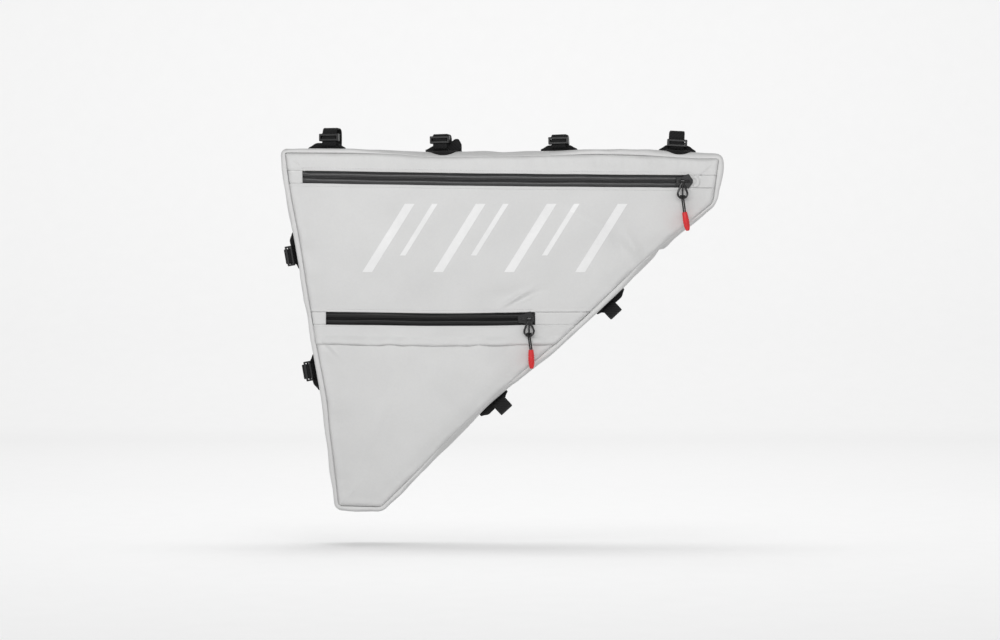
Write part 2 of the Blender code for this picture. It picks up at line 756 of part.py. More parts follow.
def ring_lengths():
    total, lengths = 0.0, [0.0]
    for k in range(len(RING)):
        total += (RING[(k + 1) % len(RING)][0] - RING[k][0]).length
        lengths.append(total)
    return lengths


LENGTHS = ring_lengths()


def place_on_ring(edge, along):
    """Distance along the ring of the point nearest to a place on an edge."""
    target = seam_point(edge, along)
    best = (BAG_LENGTH, 0.0)
    for k, (start, _) in enumerate(RING):
        step = RING[(k + 1) % len(RING)][0] - start
        share = min(max((target - start).dot(step) / step.length_squared, 0.0), 1.0)
        gap = (target - start - step * share).length
        best = min(best, (gap, LENGTHS[k] + share * step.length))
    return best[1]


def on_gusset(distance, y):
    """A point on the outer face of the gusset."""
    distance %= LENGTHS[-1]
    k = next(index for index in range(len(RING)) if distance <= LENGTHS[index + 1])
    share = (distance - LENGTHS[k]) / (LENGTHS[k + 1] - LENGTHS[k])
    depth = 2 * (BAG_DEPTH / 2 - CLOTH - GAP)
    bow = straight(GUSSET_SECTION, min(max(y / depth + 0.5, 0.0), 1.0))
    start, end = gusset_vertex(k, 0.5, bow), gusset_vertex(k + 1, 0.5, bow)
    point = start.lerp(end, share)
    point.y = y
    return point


class Seat:
    """A strap's own frame on the gusset: along the edge, out of the bag, and depth."""

    def __init__(self, strap):
        (self.name, edge, share, rise, buckle, self.side, twist, shift, reach,
         self.rise_start, self.rise_end) = strap
        self.rise = rise * STRAP_RISE
        self.twist = math.radians(twist)
        tab_top = FOOT + max(self.rise_start, self.rise_end) * TAB_RISE if twist else FOOT
        self.buckle = max(buckle * self.rise, tab_top + BUCKLE_HEIGHT / 2 + SEAT_GAP)
        self.shift = shift * TAB_LENGTH
        self.reach = reach * PATCH_REACH
        self.distance = place_on_ring(edge, share)
        ends = [on_gusset(self.distance + sign * TAB_LENGTH / 2, 0.0) for sign in (-1, 1)]
        self.along = (ends[1] - ends[0]).normalized()
        self.out = Vector((-self.along.z, 0.0, self.along.x))

    def surface(self, along, y, height):
        return on_gusset(self.distance + along, y) + self.out * height

    def base(self):
        """The middle of the strap's foot, clear of the highest gusset under it."""
        foot = on_gusset(self.distance + self.shift, 0.0)
        highest = 0.0
        for k in range(-2, 3):
            nearby = on_gusset(self.distance + self.shift + k * WEBBING_WIDTH / 4, 0.0)
            highest = max(highest, (nearby - foot).dot(self.out))
        return foot + self.out * highest

    def local(self, along, height, depth):
        """A point of the loop's own frame, turned by the strap's twist."""
        turned = along * math.cos(self.twist) - depth * math.sin(self.twist)
        deep = along * math.sin(self.twist) + depth * math.cos(self.twist)
        return self.base() + self.along * turned + self.out * height + Vector((0.0, deep, 0.0))


FOOT = SEAT_GAP + PATCH_THICKNESS + GAP
SLOT = 2 * WEBBING_THICKNESS + 3 * GAP
MOST_TWIST = math.radians(max(abs(row[6]) for row in STRAPS))
LOOP_INNER = LOOP_DEPTH / 2 - WEBBING_THICKNESS
BUCKLE_MIDDLE = LOOP_INNER + WEBBING_THICKNESS / 2 - (WEBBING_THICKNESS + GAP) / 2
FLAT_FOOT = LOOP_DEPTH / 2 - WEBBING_THICKNESS / 2 - LOOP_ROUND / 2
TAB_HALF_DEPTH = min(FLAT_FOOT * math.cos(MOST_TWIST) - WEBBING_WIDTH / 2 * math.sin(MOST_TWIST),
                     BUCKLE_MIDDLE - SLOT / 2 - BUCKLE_BAR - 2 * GAP)
CHANNEL = WEBBING_WIDTH * math.cos(MOST_TWIST) + 2 * TAB_HALF_DEPTH * math.sin(MOST_TWIST) + 4 * GAP


def make_patch(seat, collection, skin):
    """The reinforcing patch under a strap, lying on the bowed gusset."""
    depth = BAG_DEPTH - 2 * (CLOTH + GAP)
    limit = depth / 2 - 2 * GAP
    knot = (0.5 - GUSSET_SECTION[2][0]) * depth

    def place(u, v):
        along = lerp(-TAB_LENGTH / 2, TAB_LENGTH / 2, u)
        belly = 1.0 - abs(2 * u - 1.0) ** 2.2
        half = min(lerp(TAB_HALF_DEPTH, max(TAB_HALF_DEPTH, seat.reach), belly), limit)
        inner = min(knot, 0.96 * half)
        y = straight(((0.0, -half), (0.25, -inner), (0.75, inner), (1.0, half)), v)
        return seat.surface(along, y, SEAT_GAP + PATCH_THICKNESS)

    patch = cloth_sheet(seat.name + "_patch", place, 8, 4, PATCH_THICKNESS, skin, collection)
    middle = patch.data.polygons[len(patch.data.polygons) // 2].normal
    if middle.dot(seat.out) < 0:
        patch.data.flip_normals()


def make_tab(seat, collection, skin):
    """The sewn bridge over the strap: a low wedge with a channel for the webbing."""
    ceiling = FOOT + WEBBING_THICKNESS + 3 * GAP
    base = seat.base()
    centre = seat.shift / TAB_LENGTH
    edges = [(centre * TAB_LENGTH + sign * CHANNEL / 2) / TAB_LENGTH for sign in (-1, 1)]
    stations = sorted({row[0] for row in TAB_PROFILE} | set(edges) | {edges[0] - 0.001, edges[1] + 0.001})

    def build(builder):
        loops = []
        for share in stations:
            local_rise = lerp(seat.rise_start, seat.rise_end, share + 0.5) * TAB_RISE
            ridge = seat.surface(share * TAB_LENGTH, 0.0, 0.0)
            inside = edges[0] - 1e-9 <= share <= edges[1] + 1e-9
            low = (base - ridge).dot(seat.out) + ceiling if inside else FOOT
            high = max(FOOT + straight(TAB_PROFILE, share) * local_rise, low + TAB_CROWN)
            loop = []
            for y, height in ((-TAB_HALF_DEPTH, low), (TAB_HALF_DEPTH, low), (TAB_HALF_DEPTH, high),
                              (-TAB_HALF_DEPTH, high)):
                loop.append(builder.verts.new(ridge + seat.out * height + Vector((0.0, y, 0.0))))
            loops.append(loop)
        for start, end in zip(loops, loops[1:]):
            for k in range(4):
                builder.faces.new((start[k], start[(k + 1) % 4], end[(k + 1) % 4], end[k]))
        builder.faces.new(loops[0])
        builder.faces.new(loops[-1])
        bmesh.ops.recalc_face_normals(builder, faces=builder.faces)

    finish(object_from(seat.name + "_tab", build), collection, skin)


def corner_arc(centre, radius, start, end, steps=3):
    points = []
    for k in range(steps + 1):
        angle = math.radians(lerp(start, end, k / steps))
        points.append((centre[0] + radius * math.cos(angle), centre[1] + radius * math.sin(angle)))
    return points


def loop_path(seat):
    """The strap's middle line in depth and height, with the buckle on the front (-depth).

    It starts with the tail above the buckle, runs down, under the tab, up the far side,
    over the top and down again behind the tail.
    """
    half = WEBBING_THICKNESS / 2
    low, high = FOOT + half, seat.rise - half
    side = LOOP_DEPTH / 2 - half
    layer = WEBBING_THICKNESS + GAP
    bend = min(LOOP_ROUND, 0.45 * (high - low))
    tight = bend / 2
    tail = seat.buckle + BUCKLE_HEIGHT / 2 + TAIL_LENGTH
    end = low + tight
    inner = -side + layer
    snug = max(min(bend, high - seat.buckle - BUCKLE_HEIGHT / 2 - GAP), layer)
    points = [(-side, tail), (-side, lerp(tail, end, 0.5))]
    points += corner_arc((-side + tight, low + tight), tight, 180.0, 270.0)
    points += corner_arc((side - tight, low + tight), tight, 270.0, 360.0)
    points += corner_arc((side - bend, high - bend), bend, 0.0, 90.0)
    points += corner_arc((inner + snug, high - snug), snug, 90.0, 180.0)
    stop = max(seat.buckle - BUCKLE_HEIGHT / 2 + 2 * GAP, low + layer + bend)
    if stop < high - snug - GAP:
        points.append((inner, stop))
    return points


def make_webbing(seat, collection, skin):
    path = loop_path(seat)

    def build(builder):
        pairs = []
        for depth, height in path:
            spot = depth * -seat.side
            pairs.append([builder.verts.new(seat.local(sign * WEBBING_WIDTH / 2, height, spot))
                          for sign in (-1, 1)])
        for start, end in zip(pairs, pairs[1:]):
            builder.faces.new((start[0], start[1], end[1], end[0]))

    webbing = object_from(seat.name + "_webbing", build)
    solid = webbing.modifiers.new("Thickness", "SOLIDIFY")
    solid.thickness = WEBBING_THICKNESS
    solid.offset = 0.0
    solid.use_even_offset = True
    finish(webbing, collection, skin)


def make_buckle(seat, collection, cutters, skin):
    """A ladder buckle: two bars in front of the webbing and one behind it."""
    name = seat.name + "_buckle"
    inner = WEBBING_WIDTH + 2 * BUCKLE_SIDE_GAP
    width = inner + 2 * BUCKLE_RAIL
    depth = SLOT + 2 * BUCKLE_BAR
    buckle = box(name, (width, depth, BUCKLE_HEIGHT), (0.0, 0.0, 0.0))
    soften(buckle, BUCKLE_BAR / 4)
    front_bar = 0.27 * BUCKLE_HEIGHT
    window = BUCKLE_HEIGHT - 2 * front_bar
    cuts = (
        ("slot", (inner, SLOT, 2 * BUCKLE_HEIGHT), (0.0, 0.0, 0.0)),
        ("window", (inner, depth, window), (0.0, -SLOT / 2 - BUCKLE_BAR / 2 - GAP, 0.0)),
        ("above", (inner, depth, BUCKLE_HEIGHT), (0.0, depth / 2 + GAP, front_bar / 2 + BUCKLE_HEIGHT / 2)),
        ("below", (inner, depth, BUCKLE_HEIGHT), (0.0, depth / 2 + GAP, -front_bar / 2 - BUCKLE_HEIGHT / 2)),
    )
    turn = 1.0 if seat.side < 0 else -1.0
    place = Matrix.Identity(4)
    axis_along = (seat.local(1.0, 0.0, 0.0) - seat.base()) * turn
    axis_deep = (seat.local(0.0, 0.0, 1.0) - seat.base()) * turn
    for column, axis in enumerate((axis_along, axis_deep, seat.out)):
        for line in range(3):
            place[line][column] = axis[line]
    place.translation = seat.local(0.0, seat.buckle, BUCKLE_MIDDLE * seat.side)
    buckle.matrix_world = place
    for part, size, centre in cuts:
        cutter = box(f"{name}_{part}", size, centre)
        cutter.matrix_world = place
        combine(buckle, cutter, "DIFFERENCE", cutters)
    finish(buckle, collection, skin)


def main():
    clear_scene()
    parts = new_collection("frame_bag")
    cutters = new_collection("cutters")
    cloth = material("bag_cloth", CLOTH_GREY, 0.55)
    back = material("back_cloth", BACK_GREY, 0.6)
    tape = material("coated_zip", ZIP_BLACK, 0.35)
    metal = material("black_metal", METAL_BLACK, 0.35, 0.6)
    cord = material("cord", METAL_BLACK, 0.8)
    grip = material("red_grip", GRIP_RED, 0.45)
    webbing = material("webbing", WEBBING_BLACK, 0.85)
    plastic = material("buckle_plastic", METAL_BLACK, 0.4)
    make_gusset(parts, cloth)
    make_front(parts, cloth)
    make_back(parts, back)
    for row in ZIPS:
        make_zip_row(row, parts, cloth, tape)
    make_garage(parts, cloth)
    for pull in PULLS:
        hinge = make_slider(pull, parts, cutters, metal)
        make_puller(pull, hinge, parts, cutters, metal)
        make_cord(pull, hinge, parts, cord)
        make_sleeve(pull, hinge, parts, grip)
    for strap in STRAPS:
        seat = Seat(strap)
        make_patch(seat, parts, webbing)
        make_tab(seat, parts, webbing)
        make_webbing(seat, parts, webbing)
        if seat.name not in SEWN_LOOPS:
            make_buckle(seat, parts, cutters, plastic)


main()
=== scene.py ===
"""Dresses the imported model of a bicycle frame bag: cloth, zips, pulls, straps and a studio."""

import math

import bmesh
import bpy
import numpy as np
from mathutils import Matrix, Vector


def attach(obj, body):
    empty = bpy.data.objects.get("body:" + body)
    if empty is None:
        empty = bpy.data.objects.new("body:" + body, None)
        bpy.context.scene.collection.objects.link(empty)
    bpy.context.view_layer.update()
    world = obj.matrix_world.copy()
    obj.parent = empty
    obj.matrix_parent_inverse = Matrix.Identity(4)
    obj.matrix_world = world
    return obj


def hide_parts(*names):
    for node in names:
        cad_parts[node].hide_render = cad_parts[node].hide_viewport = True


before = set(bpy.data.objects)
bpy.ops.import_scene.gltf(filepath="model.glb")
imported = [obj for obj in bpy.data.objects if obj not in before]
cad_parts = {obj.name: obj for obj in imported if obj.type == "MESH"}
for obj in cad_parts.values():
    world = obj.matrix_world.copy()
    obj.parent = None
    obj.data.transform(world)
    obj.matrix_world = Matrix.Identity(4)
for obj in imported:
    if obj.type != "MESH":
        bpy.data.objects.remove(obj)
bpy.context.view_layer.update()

# Sizes and tables repeated from the part, in metres
BAG_LENGTH, BAG_HEIGHT, BAG_DEPTH = 0.480, 0.394, 0.060
CLOTH, GAP, SEAT_GAP = 0.0015, 0.0003, 0.0006
GUSSET_BOW, SEAM_WANDER, CORNER_ROUND = 0.0060, 0.0045, 0.004
PILLOW, PILLOW_REACH = 0.0060, 0.045
ZIP_WINDOW, TAPE_UNDERLAP, TAPE_THICKNESS = 0.0140, 0.0040, 0.0010
SLIDER_WIDTH, FOLD_HEIGHT = 0.0160, 0.0200
NOSE_AHEAD, NOSE_HALF, NOSE_LENGTH = 0.0113, 0.0014, 0.0045
GARAGE_RADIUS, GARAGE_RIM = 0.0068, 0.0038
PULLER_DROP, PULLER_WIRE = 0.0200, 0.0023
CORD_DIAMETER, CORD_DROP, CORD_IN_SLEEVE = 0.0016, 0.0150, 0.0050
SLEEVE_LENGTH, SLEEVE_WIDTH, SLEEVE_NECK = 0.0205, 0.0070, 0.0052
WEBBING_WIDTH, WEBBING_THICKNESS = 0.0160, 0.0013
STRAP_RISE, LOOP_DEPTH, LOOP_ROUND = 0.0240, 0.0220, 0.0050
BUCKLE_HEIGHT, BUCKLE_BAR, TAIL_LENGTH = 0.0080, 0.0017, 0.0012
TAB_LENGTH, TAB_RISE, TAB_CROWN = 0.0400, 0.0055, 0.0012
PATCH_THICKNESS, PATCH_REACH = 0.0010, 0.0230
FLOOR = -0.432

# Corners of the seam: name, shares of the length and height, and rounding as a factor
CORNERS = (
    ("top_left", 0.008, 0.008, 0.7),
    ("top_right", 0.992, 0.024, 1.0),
    ("elbow", 0.978, 0.146, 1.2),
    ("bottom_right", 0.226, 0.986, 1.0),
    ("bottom_left", 0.130, 0.983, 1.0),
)
# Edges of the seam: name, segments, and rows of place, wander and bow as shares
EDGES = (
    ("top", 18, (
        (0.00, 0.00, 0.85), (0.15, 0.10, 0.90), (0.26, 0.00, 0.85), (0.32, -0.46, 1.05),
        (0.42, -0.32, 1.20), (0.50, -0.10, 1.00), (0.59, 0.17, 1.00), (0.70, 0.60, 0.95),
        (0.82, 0.50, 1.15), (0.95, 0.00, 1.25), (1.00, 0.00, 0.95))),
    ("right", 3, (
        (0.00, 0.00, 0.90), (0.35, 0.00, 1.20), (0.80, 0.00, 0.90), (1.00, 0.00, 0.80))),
    ("diagonal", 22, (
        (0.00, 0.00, 0.75), (0.10, -0.50, 0.60), (0.17, -0.80, 0.72), (0.25, -0.87, 1.05),
        (0.35, -0.60, 0.98), (0.45, -0.53, 0.98), (0.53, -0.88, 0.98), (0.60, -1.02, 0.62),
        (0.68, -1.03, 0.45), (0.74, -1.06, 0.85), (0.81, -0.85, 0.88), (0.88, -0.42, 0.75),
        (1.00, 0.00, 0.85))),
    ("bottom", 3, (
        (0.00, 0.00, 0.85), (0.50, 0.00, 0.90), (1.00, 0.00, 0.85))),
    ("left", 15, (
        (0.00, 0.00, 0.85), (0.12, -0.36, 0.92), (0.22, -0.60, 0.98), (0.30, -0.98, 1.05),
        (0.45, -0.55, 0.95), (0.60, -0.35, 0.92), (0.75, -0.28, 0.97), (0.88, 0.12, 1.00),
        (1.00, 0.00, 0.85))),
)
# Zips: name, shares where the strip starts and ends, and rows of place and height as shares
ZIPS = (
    ("upper", 0.048, 0.932, ((0.00, 0.0745), (0.05, 0.0755), (0.45, 0.083), (0.92, 0.088), (1.00, 0.088))),
    ("lower", 0.101, 0.575, ((0.00, 0.4650), (0.10, 0.4650), (0.38, 0.469), (0.57, 0.466), (1.00, 0.465))),
)
# Straps: name, edge, place on it, rise, height of the buckle, side of the open end, twist in
# degrees, shift along the edge, reach of the patch, and rise of the bridge at both ends
STRAPS = (
    ("top_1", "top", 0.093, 1.00, 0.54, -1, -14.0, 0.13, 0.30, 0.95, 1.05),
    ("top_2", "top", 0.364, 0.81, 0.47, -1, -14.0, -0.03, 1.00, 0.85, 1.15),
    ("top_3", "top", 0.633, 0.76, 0.50, -1, -13.0, 0.04, 0.55, 0.85, 0.85),
    ("top_4", "top", 0.907, 0.97, 0.40, -1, 0.0, -0.03, 0.90, 1.00, 1.00),
    ("slant_1", "diagonal", 0.314, 0.70, 0.56, 1, 0.0, 0.13, 0.30, 0.90, 0.55),
    ("slant_2", "diagonal", 0.661, 0.73, 0.56, 1, 0.0, -0.13, 0.30, 0.70, 1.10),
    ("left_2", "left", 0.379, 0.66, 0.58, -1, 0.0, 0.07, 0.30, 0.95, 0.95),
    ("left_1", "left", 0.728, 0.60, 0.60, -1, 0.0, -0.13, 0.30, 0.50, 0.95),
)
# Extra height of a flap that stands up beside the loop: share along the bridge and metres
FLAPS = {"top_2": ((0.19, 0.0), (0.215, 0.0036), (0.25, 0.0040), (0.33, 0.0068),
                   (0.42, 0.0095), (0.47, 0.0075), (0.50, 0.0055))}
# Height of the bridge over the strap, by the place along it
TAB_PROFILE = ((-0.50, 0.08), (-0.42, 0.40), (-0.33, 0.86), (-0.25, 1.00), (0.25, 1.00), (0.33, 0.86),
               (0.42, 0.40), (0.50, 0.08))
# Pulls: name, hinge, and lean of the cord and of the grip in degrees
PULLS = (
    ("upper", Vector((0.195386, -0.04211, -0.034646)), 8.0, 10.0),
    ("lower", Vector((0.029254, -0.0421, -0.183657)), 8.0, 2.0),
)
# How fully the gusset rolls forward beside the front seam, along each edge
SEAM_ROLL = (
    ("top", ((0.0, 0.9), (0.18, 0.8), (0.30, 0.15), (0.60, 0.15), (0.68, 0.8), (0.82, 0.9), (0.92, 0.4),
             (1.0, 0.8))),
    ("right", ((0.0, 1.0), (1.0, 1.0))),
    ("diagonal", ((0.0, 0.9), (0.05, 0.8), (0.12, 0.1), (0.21, 0.1), (0.25, 0.9), (0.50, 0.9), (0.60, 0.5),
                  (0.66, 0.1), (0.80, 0.1), (0.88, 0.8), (1.0, 1.0))),
    ("bottom", ((0.0, 1.0), (1.0, 1.0))),
    ("left", ((0.0, 1.0), (1.0, 1.0))),
)
# Section of the gusset from the front seam to its middle: place, then share of the bow and
# depth in metres where it rolls forward, and the same where it slants away
SECTION_ROWS = (
    (0.00, 0.00, 0.0000, 0.00, 0.0000), (0.03, 0.12, -0.0009, 0.14, 0.0016),
    (0.07, 0.34, -0.0015, 0.32, 0.0038), (0.12, 0.60, -0.0013, 0.50, 0.0064),
    (0.17, 0.82, -0.0002, 0.68, 0.0096), (0.22, 0.95, 0.0018, 0.84, 0.0132),
    (0.28, 1.00, 0.0046, 0.95, 0.0175), (0.50, 1.00, 0.0282, 1.00, 0.0282))
# Folds of the front: share of the length and of the height, direction in degrees, half
# length and half width as shares of the length, and height in metres, negative inwards
FOLDS = (
    (0.09, 0.60, -40.0, 0.050, 0.020, -0.0013),
    (0.52, 0.40, 6.0, 0.060, 0.018, -0.0012),
    (0.80, 0.275, -62.0, 0.045, 0.013, 0.0019),
    (0.765, 0.255, -58.0, 0.040, 0.012, -0.0013),
    (0.43, 0.72, -44.0, 0.110, 0.020, 0.0012),
    (0.60, 0.10, 0.0, 0.300, 0.016, 0.0006),
    (0.095, 0.535, -42.0, 0.028, 0.005, -0.0015),
    (0.110, 0.545, -42.0, 0.028, 0.005, 0.0012),
    (0.530, 0.410, 32.0, 0.040, 0.006, 0.0016),
    (0.548, 0.412, 24.0, 0.036, 0.006, -0.0014),
    (0.70, 0.20, -30.0, 0.090, 0.012, 0.0006),
    (0.22, 0.75, 64.0, 0.110, 0.012, 0.0006),
    (0.88, 0.13, -38.0, 0.040, 0.008, 0.0006),
    (0.962, 0.040, 2.0, 0.020, 0.003, -0.0008),
)
FOLD_GAIN = 1.9
# Puckers of the front beside the seam: height, seed, periods along the seam and reach
PUCKERS = ((0.0010, 3, (0.009, 0.016, 0.031), 0.010), (0.0011, 4, (0.030, 0.055), 0.022))
SWELL_HEIGHT, SWELL_SIZE = 0.0010, 0.07
ROLL_HEIGHT, ROLL_PLACE, ROLL_REACH = 0.0008, 0.0040, 0.0035
TUCK_DEPTH, TUCK_REACH = 0.0024, 0.0013
TIGHT_SHARE, TIGHT_REACH = 0.94, 0.0100
STITCH_PITCH, STITCH_LENGTH, STITCH_RADIUS, STITCH_LINE = 0.0030, 0.0021, 0.00028, 0.0030
TOP_ENDS, BOTTOM_ENDS = (0.004, 0.996), (0.97, 0.03)
BARS, BAR_PITCH, BAR_LEAN, BAR_TOP = 7, 0.0385, 32, 0.150
BAR_SIZES = ((0.0105, 0.074), (0.0060, 0.056))
STRAP_CALM, PINCH_WIDTH, PINCH_DEPTH, PINCH_SWELL = 0.024, 0.0034, 0.80, 0.0016
PAPER_HALF, PAPER_START, PAPER_BEND, PAPER_ROUND, PAPER_TOP = 7.0, -8.0, 2.2, 1.2, 6.0
# Light that the backdrop gives off, by the share of the height in GLOW_HEIGHT
GLOW_HEIGHT = 0.35
PAPER_GLOW = ((0.0, 0.415), (0.06, 0.436), (0.30, 0.430), (0.60, 0.419))
CAMERA_PLACE, CAMERA_LENS = (-0.0022, -2.597, -0.1851), 85.0


def lerp(a, b, share):
    return a + (b - a) * share


def eased(rows, at, column=1):
    """A smooth curve through one column of a table, at a place."""
    last = len(rows) - 1
    i = next((k for k in range(last) if at <= rows[k + 1][0]), last - 1)
    before, low, high, after = rows[max(i - 1, 0)], rows[i], rows[i + 1], rows[min(i + 2, last)]
    step = high[0] - low[0]
    share = min(max((at - low[0]) / step, 0.0), 1.0)
    slope_low = (high[column] - before[column]) / (high[0] - before[0]) * step
    slope_high = (after[column] - low[column]) / (after[0] - low[0]) * step
    square, cube = share * share, share ** 3
    return ((2 * cube - 3 * square + 1) * low[column] + (cube - 2 * square + share) * slope_low
            + (3 * square - 2 * cube) * high[column] + (cube - square) * slope_high)


def across(share):
    return (share - 0.5) * BAG_LENGTH


def down(share):
    return -share * BAG_HEIGHT


def seam_point(edge, along):
    index = [row[0] for row in EDGES].index(edge)
    start, end = CORNERS[index], CORNERS[(index + 1) % len(CORNERS)]
    first = Vector((across(start[1]), down(start[2])))
    last = Vector((across(end[1]), down(end[2])))
    direction = (last - first).normalized()
    outwards = Vector((-direction.y, direction.x))
    return first.lerp(last, along) + outwards * (eased(EDGES[index][2], along, 1) * SEAM_WANDER)


def seam_ring(finer, corner_steps):
    ring = []
    for index, (edge, segments, rows) in enumerate(EDGES):
        start, end = CORNERS[index], CORNERS[(index + 1) % len(CORNERS)]
        length = (seam_point(edge, 1.0) - seam_point(edge, 0.0)).length
        low, high = start[3] * CORNER_ROUND / length, 1.0 - end[3] * CORNER_ROUND / length
        for k in range(segments * finer + 1):
            along = lerp(low, high, k / (segments * finer))
            ring.append((*seam_point(edge, along), eased(rows, along, 2) * GUSSET_BOW,
                         eased(SEAM_ROLL[index][1], along), float(edge == "diagonal")))
        following = EDGES[(index + 1) % len(EDGES)]
        ahead = (seam_point(following[0], 1.0) - seam_point(following[0], 0.0)).length
        leave, corner = seam_point(edge, high), seam_point(edge, 1.0)
        arrive = seam_point(following[0], end[3] * CORNER_ROUND / ahead)
        bow_out, bow_in = eased(rows, 1.0, 2), eased(following[2], 0.0, 2)
        for k in range(1, corner_steps):
            share = k / corner_steps
            point = leave.lerp(corner, share).lerp(corner.lerp(arrive, share), share)
            roll = lerp(SEAM_ROLL[index][1][-1][1], SEAM_ROLL[(index + 1) % len(EDGES)][1][0][1], share)
            ring.append((*point, lerp(bow_out, bow_in, share) * GUSSET_BOW, roll, 0.0))
    return np.array(ring)


def ring_frame(ring):
    """Unit normals that point out of the bag, and the distance along the ring at each point."""
    direction = np.roll(ring[:, :2], -1, axis=0) - np.roll(ring[:, :2], 1, axis=0)
    direction /= np.linalg.norm(direction, axis=1, keepdims=True)
    steps = np.linalg.norm(np.roll(ring[:, :2], -1, axis=0) - ring[:, :2], axis=1)
    return np.stack([-direction[:, 1], direction[:, 0]], 1), np.concatenate([[0.0], np.cumsum(steps)])


COARSE = seam_ring(1, 3)
COARSE_NORMALS, COARSE_LENGTHS = ring_frame(COARSE)
FINE = seam_ring(4, 8)
FINE_NORMALS, FINE_LENGTHS = ring_frame(FINE)


def seam_distance(x, z):
    """Distance from the seam, and the place along it that is nearest."""
    shape = np.shape(x)
    points = np.stack([np.ravel(x), np.ravel(z)], 1)
    start = FINE[:, :2]
    step = np.roll(start, -1, axis=0) - start
    squared = (step ** 2).sum(1)
    best, place = np.full(len(points), 9.0), np.zeros(len(points))
    for k in range(len(start)):
        if squared[k] < 1e-14:
            continue
        offset = points - start[k]
        share = np.clip(offset @ step[k] / squared[k], 0.0, 1.0)
        gap = np.hypot(offset[:, 0] - share * step[k, 0], offset[:, 1] - share * step[k, 1])
        nearer = gap < best
        best[nearer] = gap[nearer]
        place[nearer] = (FINE_LENGTHS[k] + share * math.sqrt(squared[k]))[nearer]
    return best.reshape(shape), place.reshape(shape)


def ripple(s, seed, periods):
    """Smooth uneven waves along a line, from -1 to 1."""
    random = np.random.default_rng(seed)
    total = np.zeros_like(s, dtype=float)
    weight = 0.0
    for period in periods:
        for _ in range(3):
            here = period * random.uniform(0.8, 1.25)
            total += np.sin(2 * math.pi * s / here + random.uniform(0, 6.28)) * period ** 0.5
            weight += 0.55 * period ** 0.5
    return total / weight


def blotches(x, z, seed, size, count=14):
    """Smooth uneven swells over a surface, about -1 to 1."""
    random = np.random.default_rng(seed)
    total = np.zeros_like(x, dtype=float)
    for _ in range(count):
        angle, period = random.uniform(0, math.pi), size * random.uniform(0.7, 1.6)
        total += np.sin(2 * math.pi * (x * math.cos(angle) + z * math.sin(angle)) / period
                        + random.uniform(0, 6.28))
    return total / (0.9 * math.sqrt(count))


def fold_height(x, z):
    total = np.zeros_like(x, dtype=float)
    for share_x, share_z, degrees, half_length, half_width, height in FOLDS:
        turn = math.radians(degrees)
        dx, dz = x - across(share_x), z - down(share_z)
        along = (dx * math.cos(turn) + dz * math.sin(turn)) / (half_length * BAG_LENGTH)
        aside = (dz * math.cos(turn) - dx * math.sin(turn)) / (half_width * BAG_LENGTH)
        total = total + height * np.exp(-along * along - aside * aside)
    return FOLD_GAIN * total


def smooth_along(values):
    """Values at the ring's points, evened out along it, as a function of the place."""
    padded = np.concatenate([values[-12:], values, values[:12]])
    evened = np.convolve(padded, np.hanning(15) / np.hanning(15).sum(), mode="same")[12:-12]
    return np.concatenate([evened, evened[:1]])


TIGHT = smooth_along(FINE[:, 4])
ROLL = smooth_along(FINE[:, 3])


def front_y(x, z):
    """The outer face of the front cloth."""
    distance, place = seam_distance(x, z)
    tight = np.interp(place, FINE_LENGTHS, TIGHT)
    rise = 1.0 - np.minimum(distance / PILLOW_REACH, 1.0)
    lifted = PILLOW + fold_height(x, z) + SWELL_HEIGHT * blotches(x, z, 5, SWELL_SIZE)
    soft = 1.0 - rise ** 2.4
    pulled = TIGHT_SHARE * (1.0 - np.exp(-(distance / TIGHT_REACH) ** 1.4))
    shape = lerp(soft, np.maximum(soft, pulled), tight)
    roll = ROLL_HEIGHT * np.exp(-((distance - ROLL_PLACE) / ROLL_REACH) ** 2)
    tuck = TUCK_DEPTH * np.exp(-(distance / TUCK_REACH) ** 2)
    pucker = sum(height * ripple(place, seed, periods) * np.exp(-distance / reach)
                 for height, seed, periods, reach in PUCKERS) * (1.0 - np.exp(-(distance / 0.003) ** 2))
    return -BAG_DEPTH / 2 - lifted * shape - roll + tuck - pucker


def back_y(x, z):
    """The outer face of the back cloth."""
    distance, place = seam_distance(x, z)
    rise = 1.0 - np.minimum(distance / PILLOW_REACH, 1.0)
    tuck = 0.0012 * np.exp(-(distance / 0.0018) ** 2)
    pucker = 0.0006 * ripple(place, 8, (0.010, 0.019, 0.035)) * np.exp(-distance / 0.012) * (
        1.0 - np.exp(-(distance / 0.002) ** 2))
    return BAG_DEPTH / 2 + (PILLOW + 0.0005 * blotches(x, z, 11, 0.08)) * (1.0 - rise ** 2.4) - tuck + pucker


ZIP_TABLE = {row[0]: (np.linspace(0, 1, 201), np.array([eased(row[3], s) for s in np.linspace(0, 1, 201)]))
             for row in ZIPS}


def zip_line(row, x, offset):
    """Height of a zip's middle line at X, with an offset."""
    share = np.clip(np.asarray(x) / BAG_LENGTH + 0.5, 0.0, 1.0)
    return -np.interp(share, *ZIP_TABLE[row[0]]) * BAG_HEIGHT + offset


def chord(z):
    """Where the seam crosses a height, on the left and on the right."""
    start = FINE[:, :2]
    end = np.roll(start, -1, axis=0)
    crossing = ((start[:, 1] - z) * (end[:, 1] - z) <= 0) & (np.abs(start[:, 1] - end[:, 1]) > 1e-9)
    a, b = start[crossing], end[crossing]
    hits = a[:, 0] + (b[:, 0] - a[:, 0]) * (z - a[:, 1]) / (b[:, 1] - a[:, 1])
    return hits.min(), hits.max()


# Materials

